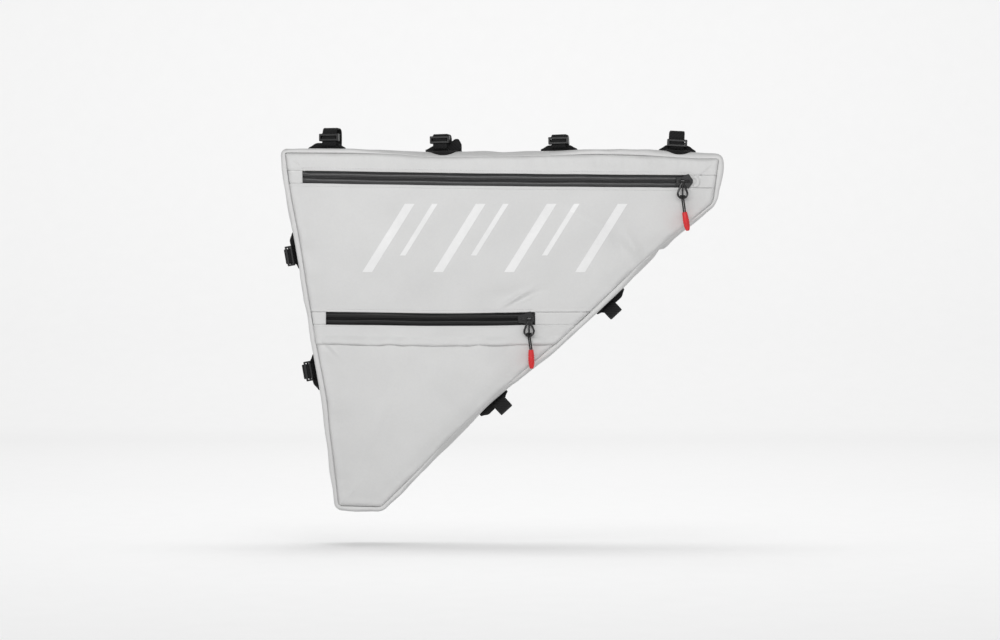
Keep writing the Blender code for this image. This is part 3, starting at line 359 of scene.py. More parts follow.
class Look:
    """The nodes of a material or a world, with short ways to add and join them."""

    def __init__(self, owner, shader):
        owner.use_nodes = True
        self.tree = owner.node_tree
        self.shader = self.tree.nodes[shader]

    def add(self, kind, **values):
        node = self.tree.nodes.new(kind)
        for key, value in values.items():
            if key in node.inputs:
                node.inputs[key].default_value = value
            else:
                setattr(node, key, value)
        return node

    def feed(self, output, node, socket):
        self.tree.links.new(output, node.inputs[socket])

    def place(self, kind):
        return self.add("ShaderNodeTexCoord").outputs[kind]

    def wave(self, vector, period, direction, distortion=0.0):
        """Bands with a period in metres."""
        node = self.add("ShaderNodeTexWave", wave_type="BANDS", bands_direction=direction,
                        Scale=2 * math.pi / (20 * period), Distortion=distortion)
        self.feed(vector, node, "Vector")
        return node.outputs["Fac"]

    def noise(self, vector, scale, detail=3.0, roughness=0.5):
        node = self.add("ShaderNodeTexNoise", Scale=scale, Detail=detail, Roughness=roughness)
        self.feed(vector, node, "Vector")
        return node.outputs["Fac"]

    def maths(self, operation, a, b):
        node = self.add("ShaderNodeMath", operation=operation)
        for socket, value in zip(node.inputs, (a, b)):
            if isinstance(value, (int, float)):
                socket.default_value = value
            else:
                self.tree.links.new(value, socket)
        return node.outputs[0]

    def mixed(self, a, b, share):
        return self.maths("ADD", self.maths("MULTIPLY", a, 1.0 - share), self.maths("MULTIPLY", b, share))

    def mapped(self, value, low, high, start=0.0, end=1.0):
        """Carries a value from the range start to end over to the range low to high."""
        node = self.add("ShaderNodeMapRange")
        for socket, number in (("From Min", start), ("From Max", end), ("To Min", low), ("To Max", high)):
            node.inputs[socket].default_value = number
        self.feed(value, node, "Value")
        return node.outputs["Result"]

    def ramp(self, fac, stops):
        node = self.add("ShaderNodeValToRGB")
        elements = node.color_ramp.elements
        while len(elements) < len(stops):
            elements.new(0.5)
        for element, (position, colour) in zip(elements, stops):
            element.position = position
            element.color = (*colour, 1.0)
        self.feed(fac, node, "Fac")
        return node.outputs["Color"]

    def tint(self, fac, colour, *stops):
        """An uneven colour: each stop is a place on the ramp and a factor."""
        shades = [(place, tuple(min(c * factor, 1.0) for c in colour)) for place, factor in stops]
        self.feed(self.ramp(fac, shades), self.shader, "Base Color")

    def bump(self, height, strength, distance):
        node = self.add("ShaderNodeBump", Strength=strength, Distance=distance)
        self.feed(height, node, "Height")
        self.feed(node.outputs["Normal"], self.shader, "Normal")


def new_material(name, colour, roughness, sheen=0.0, coat=0.0, gloss=0.5):
    made = bpy.data.materials.new(name)
    look = Look(made, "Principled BSDF")
    for socket, value in (("Base Color", (*colour, 1.0)), ("Roughness", roughness), ("Sheen Weight", sheen),
                          ("Coat Weight", coat), ("Specular IOR Level", gloss)):
        look.shader.inputs[socket].default_value = value
    return made, look


def cloth_material(name, colour, roughness, weave, dirt=0.05, sheen=0.15, gloss=0.5):
    made, look = new_material(name, colour, roughness, sheen=sheen, gloss=gloss)
    where = look.place("Object")
    threads = look.maths("MULTIPLY", *(look.wave(where, weave, direction, 0.4) for direction in "XZ"))
    look.bump(look.maths("ADD", threads, look.noise(where, 900.0, 2.0)), 0.35, 0.00012)
    broad = look.noise(where, 14.0, 4.0, 0.6)
    mixed = look.mixed(broad, look.noise(where, 420.0, 2.0), 0.25)
    look.tint(mixed, colour, (0.30, 1.0 - dirt), (0.70, 1.0 + dirt * 0.6))
    look.feed(look.mapped(broad, roughness - 0.06, roughness + 0.08), look.shader, "Roughness")
    return made


def webbing_material(name, colour):
    made, look = new_material(name, colour, 0.7, sheen=0.08, gloss=0.30)
    where = look.place("UV")
    ribs, rows = look.wave(where, 0.0012, "X"), look.wave(where, 0.0016, "Y")
    twill = look.wave(where, 0.0018, "DIAGONAL", 0.3)
    look.bump(look.maths("ADD", look.maths("MULTIPLY", ribs, rows), twill), 0.7, 0.00035)
    look.tint(look.mixed(twill, look.noise(where, 1500.0, 2.0), 0.5), colour, (0.25, 0.6), (0.75, 1.7))
    return made


def moulded_material(name, colour, roughness, coat=0.0, speckle=0.15):
    made, look = new_material(name, colour, roughness, coat=coat)
    where = look.place("Object")
    grain = look.noise(where, 1400.0)
    look.bump(grain, 0.12, 0.00012)
    look.tint(look.noise(where, 180.0), colour, (0.3, 1.0 - speckle), (0.7, 1.0 + speckle))
    look.feed(look.mapped(grain, roughness - 0.06, roughness + 0.10), look.shader, "Roughness")
    return made


def zip_material(name, colour, roughness, gloss):
    made, look = new_material(name, colour, roughness, gloss=gloss)
    where = look.place("UV")
    ribs = look.maths("MULTIPLY", look.wave(where, 0.0011, "X", 0.2), 0.35)
    grain = look.noise(where, 700.0)
    look.bump(look.maths("ADD", ribs, grain), 0.25, 0.00012)
    look.tint(grain, colour, (0.3, 0.8), (0.7, 1.3))
    return made


PALE = cloth_material("pale_cloth", (0.79, 0.79, 0.785), 0.58, 0.0007)
BACK = cloth_material("back_cloth_look", (0.70, 0.70, 0.695), 0.62, 0.0009)
THREAD = cloth_material("thread", (0.76, 0.76, 0.755), 0.6, 0.0003)
PRINT = moulded_material("print_film", (0.97, 0.97, 0.97), 0.38, coat=0.2, speckle=0.02)
ZIP = zip_material("zip_coating", (0.030, 0.030, 0.031), 0.34, 0.65)
LOW_ZIP = zip_material("dark_zip_coating", (0.011, 0.011, 0.011), 0.36, 0.25)
WEB = webbing_material("black_webbing", (0.0065, 0.0065, 0.007))
TABCLOTH = cloth_material("black_tab_cloth", (0.0065, 0.0065, 0.007), 0.70, 0.0008, dirt=0.35, sheen=0.05,
                          gloss=0.25)
PLASTIC = moulded_material("black_plastic", (0.007, 0.007, 0.0075), 0.34)
METAL = moulded_material("black_enamel", (0.007, 0.007, 0.008), 0.26, coat=0.25)
CORD = cloth_material("black_cord", (0.008, 0.008, 0.0085), 0.75, 0.0005, dirt=0.3, sheen=0.08)
RED = moulded_material("red_rubber", (0.76, 0.018, 0.022), 0.40, coat=0.05, speckle=0.08)


# Meshes

def new_piece(name, points, faces, skin, uv=None):
    mesh = bpy.data.meshes.new(name)
    mesh.from_pydata([tuple(p) for p in points], [], faces)
    mesh.materials.append(skin)
    if uv is not None:
        layer = mesh.uv_layers.new(name="UVMap")
        index = np.empty(len(mesh.loops), np.int32)
        mesh.loops.foreach_get("vertex_index", index)
        layer.data.foreach_set("uv", np.asarray(uv, np.float32)[index].ravel())
    mesh.shade_smooth()
    piece = bpy.data.objects.new(name, mesh)
    bpy.context.scene.collection.objects.link(piece)
    return piece


def grid_faces(rows, columns, wrap=False):
    faces = []
    for r in range(rows - 1):
        for c in range(columns if wrap else columns - 1):
            d = (c + 1) % columns
            faces.append((r * columns + c, r * columns + d, (r + 1) * columns + d, (r + 1) * columns + c))
    return faces


def tube_faces(rows, columns):
    """A tube with a cap at each end."""
    last = rows * columns - 1
    caps = [tuple(range(columns)), tuple(last - k for k in range(columns))]
    return grid_faces(rows, columns, wrap=True) + caps


def facing(piece, direction):
    """Turns the faces so that they look the given way."""
    total = Vector((0, 0, 0))
    for polygon in piece.data.polygons:
        total += polygon.normal * polygon.area
    if total.dot(Vector(direction)) < 0:
        piece.data.flip_normals()
    return piece


def solidify(piece, thickness):
    step = piece.modifiers.new("Thickness", "SOLIDIFY")
    step.thickness = thickness
    step.offset = -1.0
    return piece


def dressed(piece, body, slot, *nodes):
    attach(piece, body)
    if nodes:
        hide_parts(*nodes)
    return piece


def front_sheet(name, x, z, *nodes, skin=PALE, slot="bag_cloth", lift=0.0, thickness=CLOTH, extra=0.0):
    """A cloth piece on the front from grids of X and Z, lifted towards the viewer."""
    points = np.stack([x, front_y(x, z) - lift - extra, z], -1).reshape(-1, 3)
    piece = facing(new_piece(name, points, grid_faces(*x.shape), skin, points[:, [0, 2]]), (0, -1, 0))
    dressed(solidify(piece, thickness), "bag", slot, *nodes)


def spread(count):
    """Shares from 0 to 1 that stand closer together near both ends."""
    u = np.linspace(0, 1, count)
    return lerp(u, 0.5 - 0.5 * np.cos(math.pi * u), 0.75)


HALF = ZIP_WINDOW / 2


def level_line(row, offset, u):
    """A line beside a zip from seam to seam, at shares of its length."""
    left, right = chord(down(row[3][len(row[3]) // 2][1]) + offset)
    for _ in range(4):
        left = chord(float(zip_line(row, left, offset)))[0]
        right = chord(float(zip_line(row, right, offset)))[1]
    x = lerp(left, right, u)
    return x, zip_line(row, x, offset)


def side_ends(low, high, shares, side):
    """Where the seam stands at heights between two points of one side, 0 left or 1 right."""
    return np.array([chord(float(lerp(low, high, share)))[side] for share in shares])[:, None]


def between_lines(low, high, columns, rows):
    """Grids of X and Z between two lines beside the zips, out to the seam, and their shares."""
    u, v = np.meshgrid(spread(columns), np.linspace(0, 1, rows))
    low_z, high_z = (level_line(*line, u)[1] for line in (low, high))
    left, right = (side_ends(low_z[0, side], high_z[0, side], v[:, 0], side) for side in (0, -1))
    return lerp(left, right, u), lerp(low_z, high_z, v), u, v


def facing_out(piece, weld=0.0):
    """Turns all faces outwards, once points closer than the weld distance are joined."""
    builder = bmesh.new()
    builder.from_mesh(piece.data)
    if weld:
        bmesh.ops.remove_doubles(builder, verts=builder.verts, dist=weld)
        bmesh.ops.dissolve_degenerate(builder, edges=builder.edges, dist=weld / 10)
    bmesh.ops.recalc_face_normals(builder, faces=builder.faces)
    builder.to_mesh(piece.data)
    builder.free()
    return piece


def stitches(name, path):
    """A row of thread stitches along a path that lies on the front."""
    along = np.concatenate([[0.0], np.cumsum(np.linalg.norm(np.diff(path, axis=0), axis=1))])
    normal = np.array((0.0, -1.0, 0.0))
    points, faces = [], []
    for k in range(int(along[-1] / STITCH_PITCH)):
        centre = (k + 0.5) * STITCH_PITCH
        ends = (centre - STITCH_LENGTH / 2, centre + STITCH_LENGTH / 2)
        start, end = (np.array([np.interp(place, along, path[:, c]) for c in range(3)]) for place in ends)
        middle = (start + end) / 2 + normal * STITCH_RADIUS * 0.9
        direction = (end - start) / np.linalg.norm(end - start)
        side = np.cross(direction, normal)
        side /= np.linalg.norm(side)
        base = len(points)
        points.append(start - normal * STITCH_RADIUS * 0.6)
        for share in (-0.32, 0.32):
            for turn in (angle * math.pi / 3 for angle in range(6)):
                away = (side * math.cos(turn) + normal * math.sin(turn)) * STITCH_RADIUS
                points.append(middle + direction * share * STITCH_LENGTH + away)
        points.append(end - normal * STITCH_RADIUS * 0.6)
        for a in range(6):
            b = (a + 1) % 6
            faces.append((base, base + 1 + a, base + 1 + b))
            faces.append((base + 1 + a, base + 7 + a, base + 7 + b, base + 1 + b))
            faces.append((base + 13, base + 7 + b, base + 7 + a))
    dressed(facing_out(new_piece(name, points, faces, THREAD)), "bag", "bag_cloth")


def on_front(x, z, lift):
    return np.stack([x, front_y(x, z) - lift, z], 1)


def edge_roll(x, z, row, offset, height=0.0006, reach=0.0016):
    """The folded edge of cloth beside a zip, a little proud, with a sewn groove beyond it."""
    away = np.abs(z - zip_line(row, x, offset))
    return height * np.exp(-(away / reach) ** 2) - 0.00025 * np.exp(-((away - 0.0030) / 0.0007) ** 2)


def seam_line(edge, ends, count):
    """Points along an edge of the seam between two shares of it."""
    return np.array([seam_point(edge, lerp(*ends, share)) for share in spread(count)])


def make_front():
    upper, lower = ZIPS
    u, v = np.meshgrid(spread(300), np.linspace(0, 1, 18))
    low_x, low_z = level_line(upper, HALF + GAP / 2, u)
    seam = seam_line("top", TOP_ENDS, 300)
    x, z = lerp(low_x, seam[:, 0], v), lerp(low_z, seam[:, 1], v)
    shares = v[:-1, 0]
    x[:-1] += (1.0 - u[:-1]) ** 8 * (side_ends(z[0, 0], z[-1, 0], shares, 0) - x[:-1, :1])
    x[:-1] += u[:-1] ** 8 * (side_ends(z[0, -1], z[-1, -1], shares, 1) - x[:-1, -1:])
    front_sheet("front_above_zip", x, z, "panel_top", extra=edge_roll(x, z, upper, HALF))

    x, z, u, v = between_lines((lower, HALF + GAP / 2), (upper, -HALF - GAP / 2), 260, 90)
    extra = edge_roll(x, z, lower, HALF + GAP / 2) + edge_roll(x, z, upper, -HALF - GAP / 2)
    front_sheet("front_between_zips", x, z, "panel_main", extra=extra)

    u, v = np.meshgrid(spread(170), np.linspace(0, 1, 130))
    seam = seam_line("bottom", BOTTOM_ENDS, 170)
    z = lerp(seam[:, 1], level_line(lower, -HALF - GAP / 2, u)[1], v)
    x = np.repeat(seam[:, 0][None, :], len(v), 0)
    left, right = (side_ends(z[0, side], z[-1, side], v[1:, 0], side) for side in (0, -1))
    x[1:] = lerp(left, right, u[1:])
    front_sheet("front_below_zip", x, z, "panel_lower", extra=edge_roll(x, z, lower, -HALF))

    fold_top = max(ZIP_WINDOW, SLIDER_WIDTH) / 2 + 2 * GAP
    x, z, u, v = between_lines((lower, -fold_top - FOLD_HEIGHT), (lower, -fold_top), 200, 26)
    z = z + 0.0007 * ripple(x, 21, (0.030, 0.060)) * (1 - v) * np.sin(math.pi * u) ** 0.3
    low_roll = np.clip((0.50 - v) / 0.42, 0.0, 1.0)
    swell = (0.0021 + 0.0010 * ripple(x, 23, (0.022, 0.045))) * low_roll ** 1.3 * (3 - 2 * low_roll)
    swell = swell - 0.0016 * np.exp(-(v / 0.05) ** 2)
    front_sheet("fold_below_zip", x, z, "fold_band", lift=CLOTH / 2, extra=swell)


def slider_nose(away):
    """X of the upper slider's pointed front at a distance from the zip's middle."""
    tip = PULLS[0][1].x + NOSE_AHEAD
    return tip - np.clip((away - NOSE_HALF) / (SLIDER_WIDTH / 2 - NOSE_HALF), 0.0, 1.0) * NOSE_LENGTH


def make_patches():
    rows = 24
    for row in ZIPS:
        name, first, last = row[0], across(row[1]), across(row[2])
        half = HALF - GAP / 2
        offsets = np.linspace(-half, half, rows)
        for side in ("left", "right"):
            if side == "left":
                starts = np.array([chord(float(zip_line(row, first, o)))[0] for o in offsets])
                ends = np.full(rows, first - GAP / 2)
                columns = 16
            else:
                starts = np.full(rows, last + GAP / 2)
                if name == "upper":
                    starts = slider_nose(np.abs(offsets)) + 1.5 * GAP
                ends = []
                for o in offsets:
                    guess = chord(float(zip_line(row, last, o)))[1]
                    ends.append(chord(float(zip_line(row, guess, o)))[1])
                ends = np.array(ends)
                columns = 40
            u, v = np.meshgrid(np.linspace(0, 1, columns), np.linspace(0, 1, rows))
            x = lerp(starts[:, None], ends[:, None], u)
            offset = np.repeat(offsets[:, None], columns, 1)
            z = zip_line(row, x, offset)
            inner = x - (first if side == "left" else starts[:, None])
            extra = 0.0006 * np.exp(-(inner / 0.0014) ** 2)
            extra -= 0.00045 * np.exp(-((np.abs(offset) - half) / 0.0008) ** 2)
            front_sheet(f"{name}_end_{side}", x, z, f"{name}_patch_{side}", extra=extra)
    row = ZIPS[0]
    centre = across(row[2]) + 2 * GAP
    u, v = np.meshgrid(np.linspace(0, 1, 8), np.linspace(-math.pi / 2, math.pi / 2, rows))
    radius = lerp(GARAGE_RADIUS - GARAGE_RIM, GARAGE_RADIUS, u)
    x, z = centre + radius * np.cos(v), zip_line(row, centre, radius * np.sin(v))
    bulge = 0.0003 * np.sin(math.pi * u)
    front_sheet("half_round_tab", x, z, "zip_garage", lift=CLOTH / 2 + GAP, thickness=CLOTH / 2, extra=bulge)


def make_zips():
    for row in ZIPS:
        name, first, last = row[0], across(row[1]), across(row[2])
        reach = HALF + TAPE_UNDERLAP
        offsets = np.array([-1.0, -0.72, -0.60, -0.52, -0.46, -0.40, -0.33, -0.26, -0.20, -0.14, -0.09,
                            -0.055, -0.03, 0.0])
        offsets = np.concatenate([offsets, -offsets[:-1][::-1]]) * reach
        height = np.interp(np.abs(offsets),
                           (0.0, 0.0003, 0.0009, 0.0024, 0.0040, 0.0052, 0.0062, 0.0072, reach),
                           (-0.0012, -0.0010, 0.0001, 0.0008, 0.0009, 0.0003, -0.0001, -0.0003, -0.0010))
        columns = 330 if name == "upper" else 180
        x, offset = np.meshgrid(np.linspace(first - TAPE_UNDERLAP, last + TAPE_UNDERLAP, columns), offsets)
        z = zip_line(row, x, offset)
        waves = 0.00018 * ripple(x, 31, (0.012, 0.035))
        front_sheet(f"{name}_zip", x, z, f"{name}_zip_tape_upper", f"{name}_zip_tape_lower",
                    skin=ZIP if name == "upper" else LOW_ZIP, slot="coated_zip", lift=-(CLOTH + GAP),
                    thickness=TAPE_THICKNESS, extra=height[:, None] + waves)
        for sign, words in ((1, "above"), (-1, "below")):
            xs = np.linspace(first, last, 240)
            zs = zip_line(row, xs, sign * (HALF + STITCH_LINE))
            stitches(f"{name}_stitches_{words}", on_front(xs, zs, -0.00020))


def make_back():
    count = 150
    shares = spread(count)
    x, z = np.empty((count, count)), np.empty((count, count))
    foot, head = seam_point("bottom", 0.5).y, seam_point("top", 0.5).y
    for r, share in enumerate(shares[1:-1], 1):
        z[r] = lerp(foot, head, share)
        x[r] = lerp(*chord(z[r, 0]), shares)
    for r, edge, ends in ((0, "bottom", BOTTOM_ENDS), (count - 1, "top", TOP_ENDS)):
        x[r], z[r] = seam_line(edge, ends, count).T
    points = np.stack([x, back_y(x, z), z], -1).reshape(-1, 3)
    piece = new_piece("back_of_bag", points, grid_faces(count, count), BACK, points[:, [0, 2]])
    facing(piece, (0, 1, 0))
    dressed(solidify(piece, CLOTH), "bag", "back_cloth", "back_panel")


def gusset_surface(s, t):
    """Points of the gusset's outer face from the distance along the seam and the place across."""
    s, t = np.broadcast_arrays(np.asarray(s, float), np.asarray(t, float))
    around = np.mod(s, FINE_LENGTHS[-1])
    closed = [np.append(FINE[:, k], FINE[0, k]) for k in range(3)]
    normals = [np.append(FINE_NORMALS[:, k], FINE_NORMALS[0, k]) for k in range(2)]
    x, z, bow = (np.interp(around, FINE_LENGTHS, values) for values in closed)
    nx, nz = (np.interp(around, FINE_LENGTHS, values) for values in normals)
    roll = np.interp(around, FINE_LENGTHS, ROLL)
    half = np.minimum(t, 1.0 - t)
    rows = SECTION_ROWS
    out = lerp(smooth_row(rows, half, 3), smooth_row(rows, half, 1), roll)
    deep = lerp(smooth_row(rows, half, 4), smooth_row(rows, half, 2), roll)
    y = (deep - (BAG_DEPTH / 2 - CLOTH - GAP)) * np.where(t <= 0.5, 1.0, -1.0)
    calm = np.ones_like(s)
    for place in STRAP_PLACES:
        away = np.abs(np.mod(around - place + FINE_LENGTHS[-1] / 2, FINE_LENGTHS[-1]) - FINE_LENGTHS[-1] / 2)
        calm = calm * (1.0 - np.exp(-(away / STRAP_CALM) ** 4))
    beyond = (around - PINCH_PLACE) / PINCH_WIDTH
    bow = bow * (1.0 - PINCH_DEPTH * np.exp(-beyond ** 2))
    bow = bow + PINCH_SWELL * np.exp(-((beyond + 3.0) / 2.2) ** 2)
    near = np.sin(math.pi * np.clip(half / 0.30, 0.0, 1.0))
    wrinkle = 0.0007 * ripple(around, 41, (0.012, 0.026, 0.050)) * near
    soft = 0.0005 * blotches(around, y * 1.5, 43, 0.05) * np.sin(math.pi * t)
    bow = bow * out + (wrinkle + soft) * calm
    return np.stack([x + nx * bow, y, z + nz * bow], -1)


def smooth_row(rows, at, column):
    fine = np.linspace(0.0, 0.5, 101)
    return np.interp(at, fine, [eased(rows, value, column) for value in fine])


def fine_place(point):
    """Distance along the fine seam that is nearest to a point in X and Z."""
    return float(seam_distance(np.array([point[0]]), np.array([point[1]]))[1][0])


PINCH_PLACE = fine_place(seam_point("diagonal", 0.158))
STRAP_PLACES = [fine_place(seam_point(row[1], row[2])) for row in STRAPS]


def make_gusset():
    half = np.concatenate([np.linspace(0.0, 0.30, 16), np.linspace(0.34, 0.5, 5)])
    t = np.concatenate([half, 1.0 - half[:-1][::-1]])
    s = FINE_LENGTHS[:-1]
    points = gusset_surface(s[:, None], t[None, :])
    count, wide = len(s), len(t)
    faces = [(r * wide + c, r * wide + c + 1, (r + 1) % count * wide + c + 1, (r + 1) % count * wide + c)
             for r in range(count) for c in range(wide - 1)]
    uv = np.stack(np.broadcast_arrays(s[:, None], points[..., 1]), -1).reshape(-1, 2)
    piece = new_piece("gusset_cloth", points.reshape(-1, 3), faces, PALE, uv)
    if piece.data.polygons[wide // 2].normal.dot(Vector((FINE_NORMALS[0, 0], 0, FINE_NORMALS[0, 1]))) < 0:
        piece.data.flip_normals()
    dressed(solidify(piece, CLOTH), "bag", "bag_cloth", "gusset")


# Print: slanted bars of a pale film

def make_print():
    lean = math.tan(math.radians(BAR_LEAN))
    points, faces = [], []
    for k in range(BARS):
        width, height = BAR_SIZES[k % 2]
        middle = across(0.195) + k * BAR_PITCH
        top, bottom = down(BAR_TOP), down(BAR_TOP) - height
        u, v = np.meshgrid(np.linspace(-0.5, 0.5, 6), np.linspace(0, 1, 36))
        z = lerp(bottom, top, v)
        x = middle + u * width + (z - bottom) * lean
        y = front_y(x, z) - 0.00012
        base = len(points)
        points.extend(np.stack([x, y, z], -1).reshape(-1, 3))
        faces.extend(tuple(base + i for i in face) for face in grid_faces(*x.shape))
    piece = new_piece("slanted_bars", points, faces, PRINT)
    facing(piece, (0, -1, 0))
    solidify(piece, 0.0001)
    crisp = piece.modifiers.new("Crisp edges", "EDGE_SPLIT")
    crisp.split_angle = math.radians(35)
    dressed(piece, "bag", "bag_cloth")


# Straps

def straight(rows, at):
    return float(np.interp(at, [row[0] for row in rows], [row[1] for row in rows]))


SECTION = ((0.00, 0.00), (0.07, 0.46), (0.20, 0.84), (0.50, 1.00), (0.80, 0.84), (0.93, 0.46), (1.00, 0.00))
FOOT = SEAT_GAP + PATCH_THICKNESS + GAP
SLOT = 2 * WEBBING_THICKNESS + 3 * GAP
MOST_TWIST = math.radians(14.0)
LOOP_INNER = LOOP_DEPTH / 2 - WEBBING_THICKNESS
FLAT_FOOT = LOOP_DEPTH / 2 - WEBBING_THICKNESS / 2 - LOOP_ROUND / 2
BUCKLE_MIDDLE = LOOP_INNER + WEBBING_THICKNESS / 2 - (WEBBING_THICKNESS + GAP) / 2
TAB_HALF_DEPTH = min(FLAT_FOOT * math.cos(MOST_TWIST) - WEBBING_WIDTH / 2 * math.sin(MOST_TWIST),
                     BUCKLE_MIDDLE - SLOT / 2 - BUCKLE_BAR - 2 * GAP)
CHANNEL = WEBBING_WIDTH * math.cos(MOST_TWIST) + 2 * TAB_HALF_DEPTH * math.sin(MOST_TWIST) + 4 * GAP


def on_gusset(distance, y):
    """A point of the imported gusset, from the distance along its seam and the depth."""
    lengths = COARSE_LENGTHS
    distance %= lengths[-1]
    k = min(int(np.searchsorted(lengths, distance, side="left")), len(lengths) - 1) - 1
    k = max(k, 0)
    share = (distance - lengths[k]) / (lengths[k + 1] - lengths[k])
    depth = 2 * (BAG_DEPTH / 2 - CLOTH - GAP)
    bow = straight(SECTION, min(max(y / depth + 0.5, 0.0), 1.0))
    ends = []
    for index in (k, (k + 1) % len(COARSE)):
        ends.append(COARSE[index, :2] + COARSE_NORMALS[index] * COARSE[index, 2] * bow)
    point = lerp(ends[0], ends[1], share)
    return Vector((point[0], y, point[1]))


class Seat:
    """A strap's own frame on the gusset: along the edge, out of the bag, and depth."""

    def __init__(self, strap):
        (self.name, edge, share, rise, buckle, self.side, twist, shift, reach,
         self.rise_start, self.rise_end) = strap
        self.rise = rise * STRAP_RISE
        self.twist = math.radians(twist)
        tab_top = FOOT + max(self.rise_start, self.rise_end) * TAB_RISE if twist else FOOT
        self.buckle = max(buckle * self.rise, tab_top + BUCKLE_HEIGHT / 2 + SEAT_GAP)
        self.shift = shift * TAB_LENGTH
        self.reach = reach * PATCH_REACH
        target = np.array(seam_point(edge, share))
        start = COARSE[:, :2]
        step = np.roll(start, -1, axis=0) - start
        part = np.clip(((target - start) * step).sum(1) / np.maximum((step ** 2).sum(1), 1e-12), 0, 1)
        gap = np.linalg.norm(target - start - step * part[:, None], axis=1)
        k = int(gap.argmin())
        self.distance = COARSE_LENGTHS[k] + part[k] * np.linalg.norm(step[k])
        ends = [on_gusset(self.distance + sign * TAB_LENGTH / 2, 0.0) for sign in (-1, 1)]
        self.along = (ends[1] - ends[0]).normalized()
        self.out = Vector((-self.along.z, 0.0, self.along.x))
        foot = on_gusset(self.distance + self.shift, 0.0)
        under = [on_gusset(self.distance + self.shift + k * WEBBING_WIDTH / 4, 0.0) for k in range(-2, 3)]
        highest = max((point - foot).dot(self.out) for point in under)
        self.base = foot + self.out * max(highest, 0.0)

    def surface(self, along, y, height):
        return on_gusset(self.distance + along, y) + self.out * height

    def local(self, along, height, depth):
        turned = along * math.cos(self.twist) - depth * math.sin(self.twist)
        deep = along * math.sin(self.twist) + depth * math.cos(self.twist)
        return self.base + self.along * turned + self.out * height + Vector((0.0, deep, 0.0))


def arc(centre, radius, start, end, steps=9):
    points = []
    for k in range(steps + 1):
        angle = math.radians(lerp(start, end, k / steps))
        points.append((centre[0] + radius * math.cos(angle), centre[1] + radius * math.sin(angle)))
    return points


def loop_path(seat):
    """The webbing's middle line in depth and height."""
    half = WEBBING_THICKNESS / 2
    low, high = FOOT + half, seat.rise - half
    side = LOOP_DEPTH / 2 - half
    layer = WEBBING_THICKNESS + GAP
    bend = min(LOOP_ROUND, 0.45 * (high - low))
    tight = bend / 2
    tail = seat.buckle + BUCKLE_HEIGHT / 2 + TAIL_LENGTH
    end = low + tight
    inner = -side + layer
    snug = max(min(bend, high - seat.buckle - BUCKLE_HEIGHT / 2 - GAP), layer)
    points = [(-side, lerp(tail, end, k / 8)) for k in range(8)]
    points += arc((-side + tight, low + tight), tight, 180.0, 270.0)
    points += arc((side - tight, low + tight), tight, 270.0, 360.0)
    points += [(side + 0.0004 * math.sin(math.pi * k / 6), lerp(low + tight, high - bend, k / 6))
               for k in range(1, 6)]
    points += arc((side - bend, high - bend), bend, 0.0, 90.0)
    points += arc((inner + snug, high - snug), snug, 90.0, 180.0)
    stop = max(seat.buckle - BUCKLE_HEIGHT / 2 + 2 * GAP, low + layer + bend)
    if stop < high - snug - GAP:
        points += [(inner, lerp(high - snug, stop, k / 6)) for k in range(1, 7)]
    return points


def band(name, path, seat, skin):
    """Webbing: a flat band with rounded edges along a path in depth and height."""
    path = np.array(path)
    keep = np.concatenate([[True], np.linalg.norm(np.diff(path, axis=0), axis=1) > 1e-6])
    path = path[keep]
    tangent = np.gradient(path, axis=0)
    tangent /= np.linalg.norm(tangent, axis=1, keepdims=True)
    normal = np.stack([-tangent[:, 1], tangent[:, 0]], 1)
    along = np.concatenate([[0.0], np.cumsum(np.linalg.norm(np.diff(path, axis=0), axis=1))])
    half_width, half = WEBBING_WIDTH / 2, WEBBING_THICKNESS / 2
    corners = [(half_width - 0.0010, 1.0), (half_width - 0.0003, 0.8)]
    flat = [(w * half_width, 1.0) for w in (-0.6, -0.2, 0.2, 0.6)]
    face = [*((-w, h) for w, h in corners[::-1]), *flat, *corners]
    outline = [(-half_width, 0.0), *face, (half_width, 0.0), *((-w, -h) for w, h in face)]
    points, uv = [], []
    for p, n, s in zip(path, normal, along):
        for w, h in outline:
            place = p + n * (h * half)
            points.append(seat.local(w, place[1], place[0] * -seat.side))
            uv.append((s, w))
    return facing_out(new_piece(name, points, tube_faces(len(path), len(outline)), skin, uv))


def make_tab(seat):
    """The sewn bridge over the strap, as a band of cloth with soft edges."""
    ceiling = FOOT + WEBBING_THICKNESS + 3 * GAP
    edges = [(seat.shift + sign * CHANNEL / 2) / TAB_LENGTH for sign in (-1, 1)]
    stations = np.linspace(-0.5, 0.5, 57)
    low, half, round_off = FOOT - SEAT_GAP, TAB_HALF_DEPTH, 0.0011
    points, uv = [], []
    for share in stations:
        rise = lerp(seat.rise_start, seat.rise_end, share + 0.5) * TAB_RISE
        ridge = seat.surface(share * TAB_LENGTH, 0.0, 0.0)
        inside = edges[0] - 1e-9 <= share <= edges[1] + 1e-9
        soft = eased(TAB_PROFILE, share) if abs(share) < 0.499 else straight(TAB_PROFILE, share)
        bridge = (seat.base - ridge).dot(seat.out) + ceiling + TAB_CROWN if inside else 0.0
        flap = straight(FLAPS[seat.name], share) if seat.name in FLAPS else 0.0
        high = max(FOOT + soft * rise, bridge) + flap
        cut = min(round_off, (high - low) * 0.45)
        brow = [(half, high - cut), (half - 0.3 * cut, high - 0.3 * cut), (half - cut, high),
                (0.5 * half, high + 0.0002)]
        section = [(-half, low), (half, low), *brow, (0.0, high + 0.0003), *((-y, h) for y, h in brow[::-1])]
        for y, height in section:
            points.append(ridge + seat.out * height + Vector((0.0, y, 0.0)))
            uv.append((share * TAB_LENGTH, y + height))
    faces = tube_faces(len(stations), len(section))
    piece = facing_out(new_piece(seat.name + "_bridge", points, faces, WEB, uv))
    step = piece.modifiers.new("Soft edges", "BEVEL")
    step.width = 0.00025
    step.segments = 2
    step.limit_method = "ANGLE"
    step.angle_limit = math.radians(40)
    dressed(piece, "bag", "webbing", seat.name + "_tab")


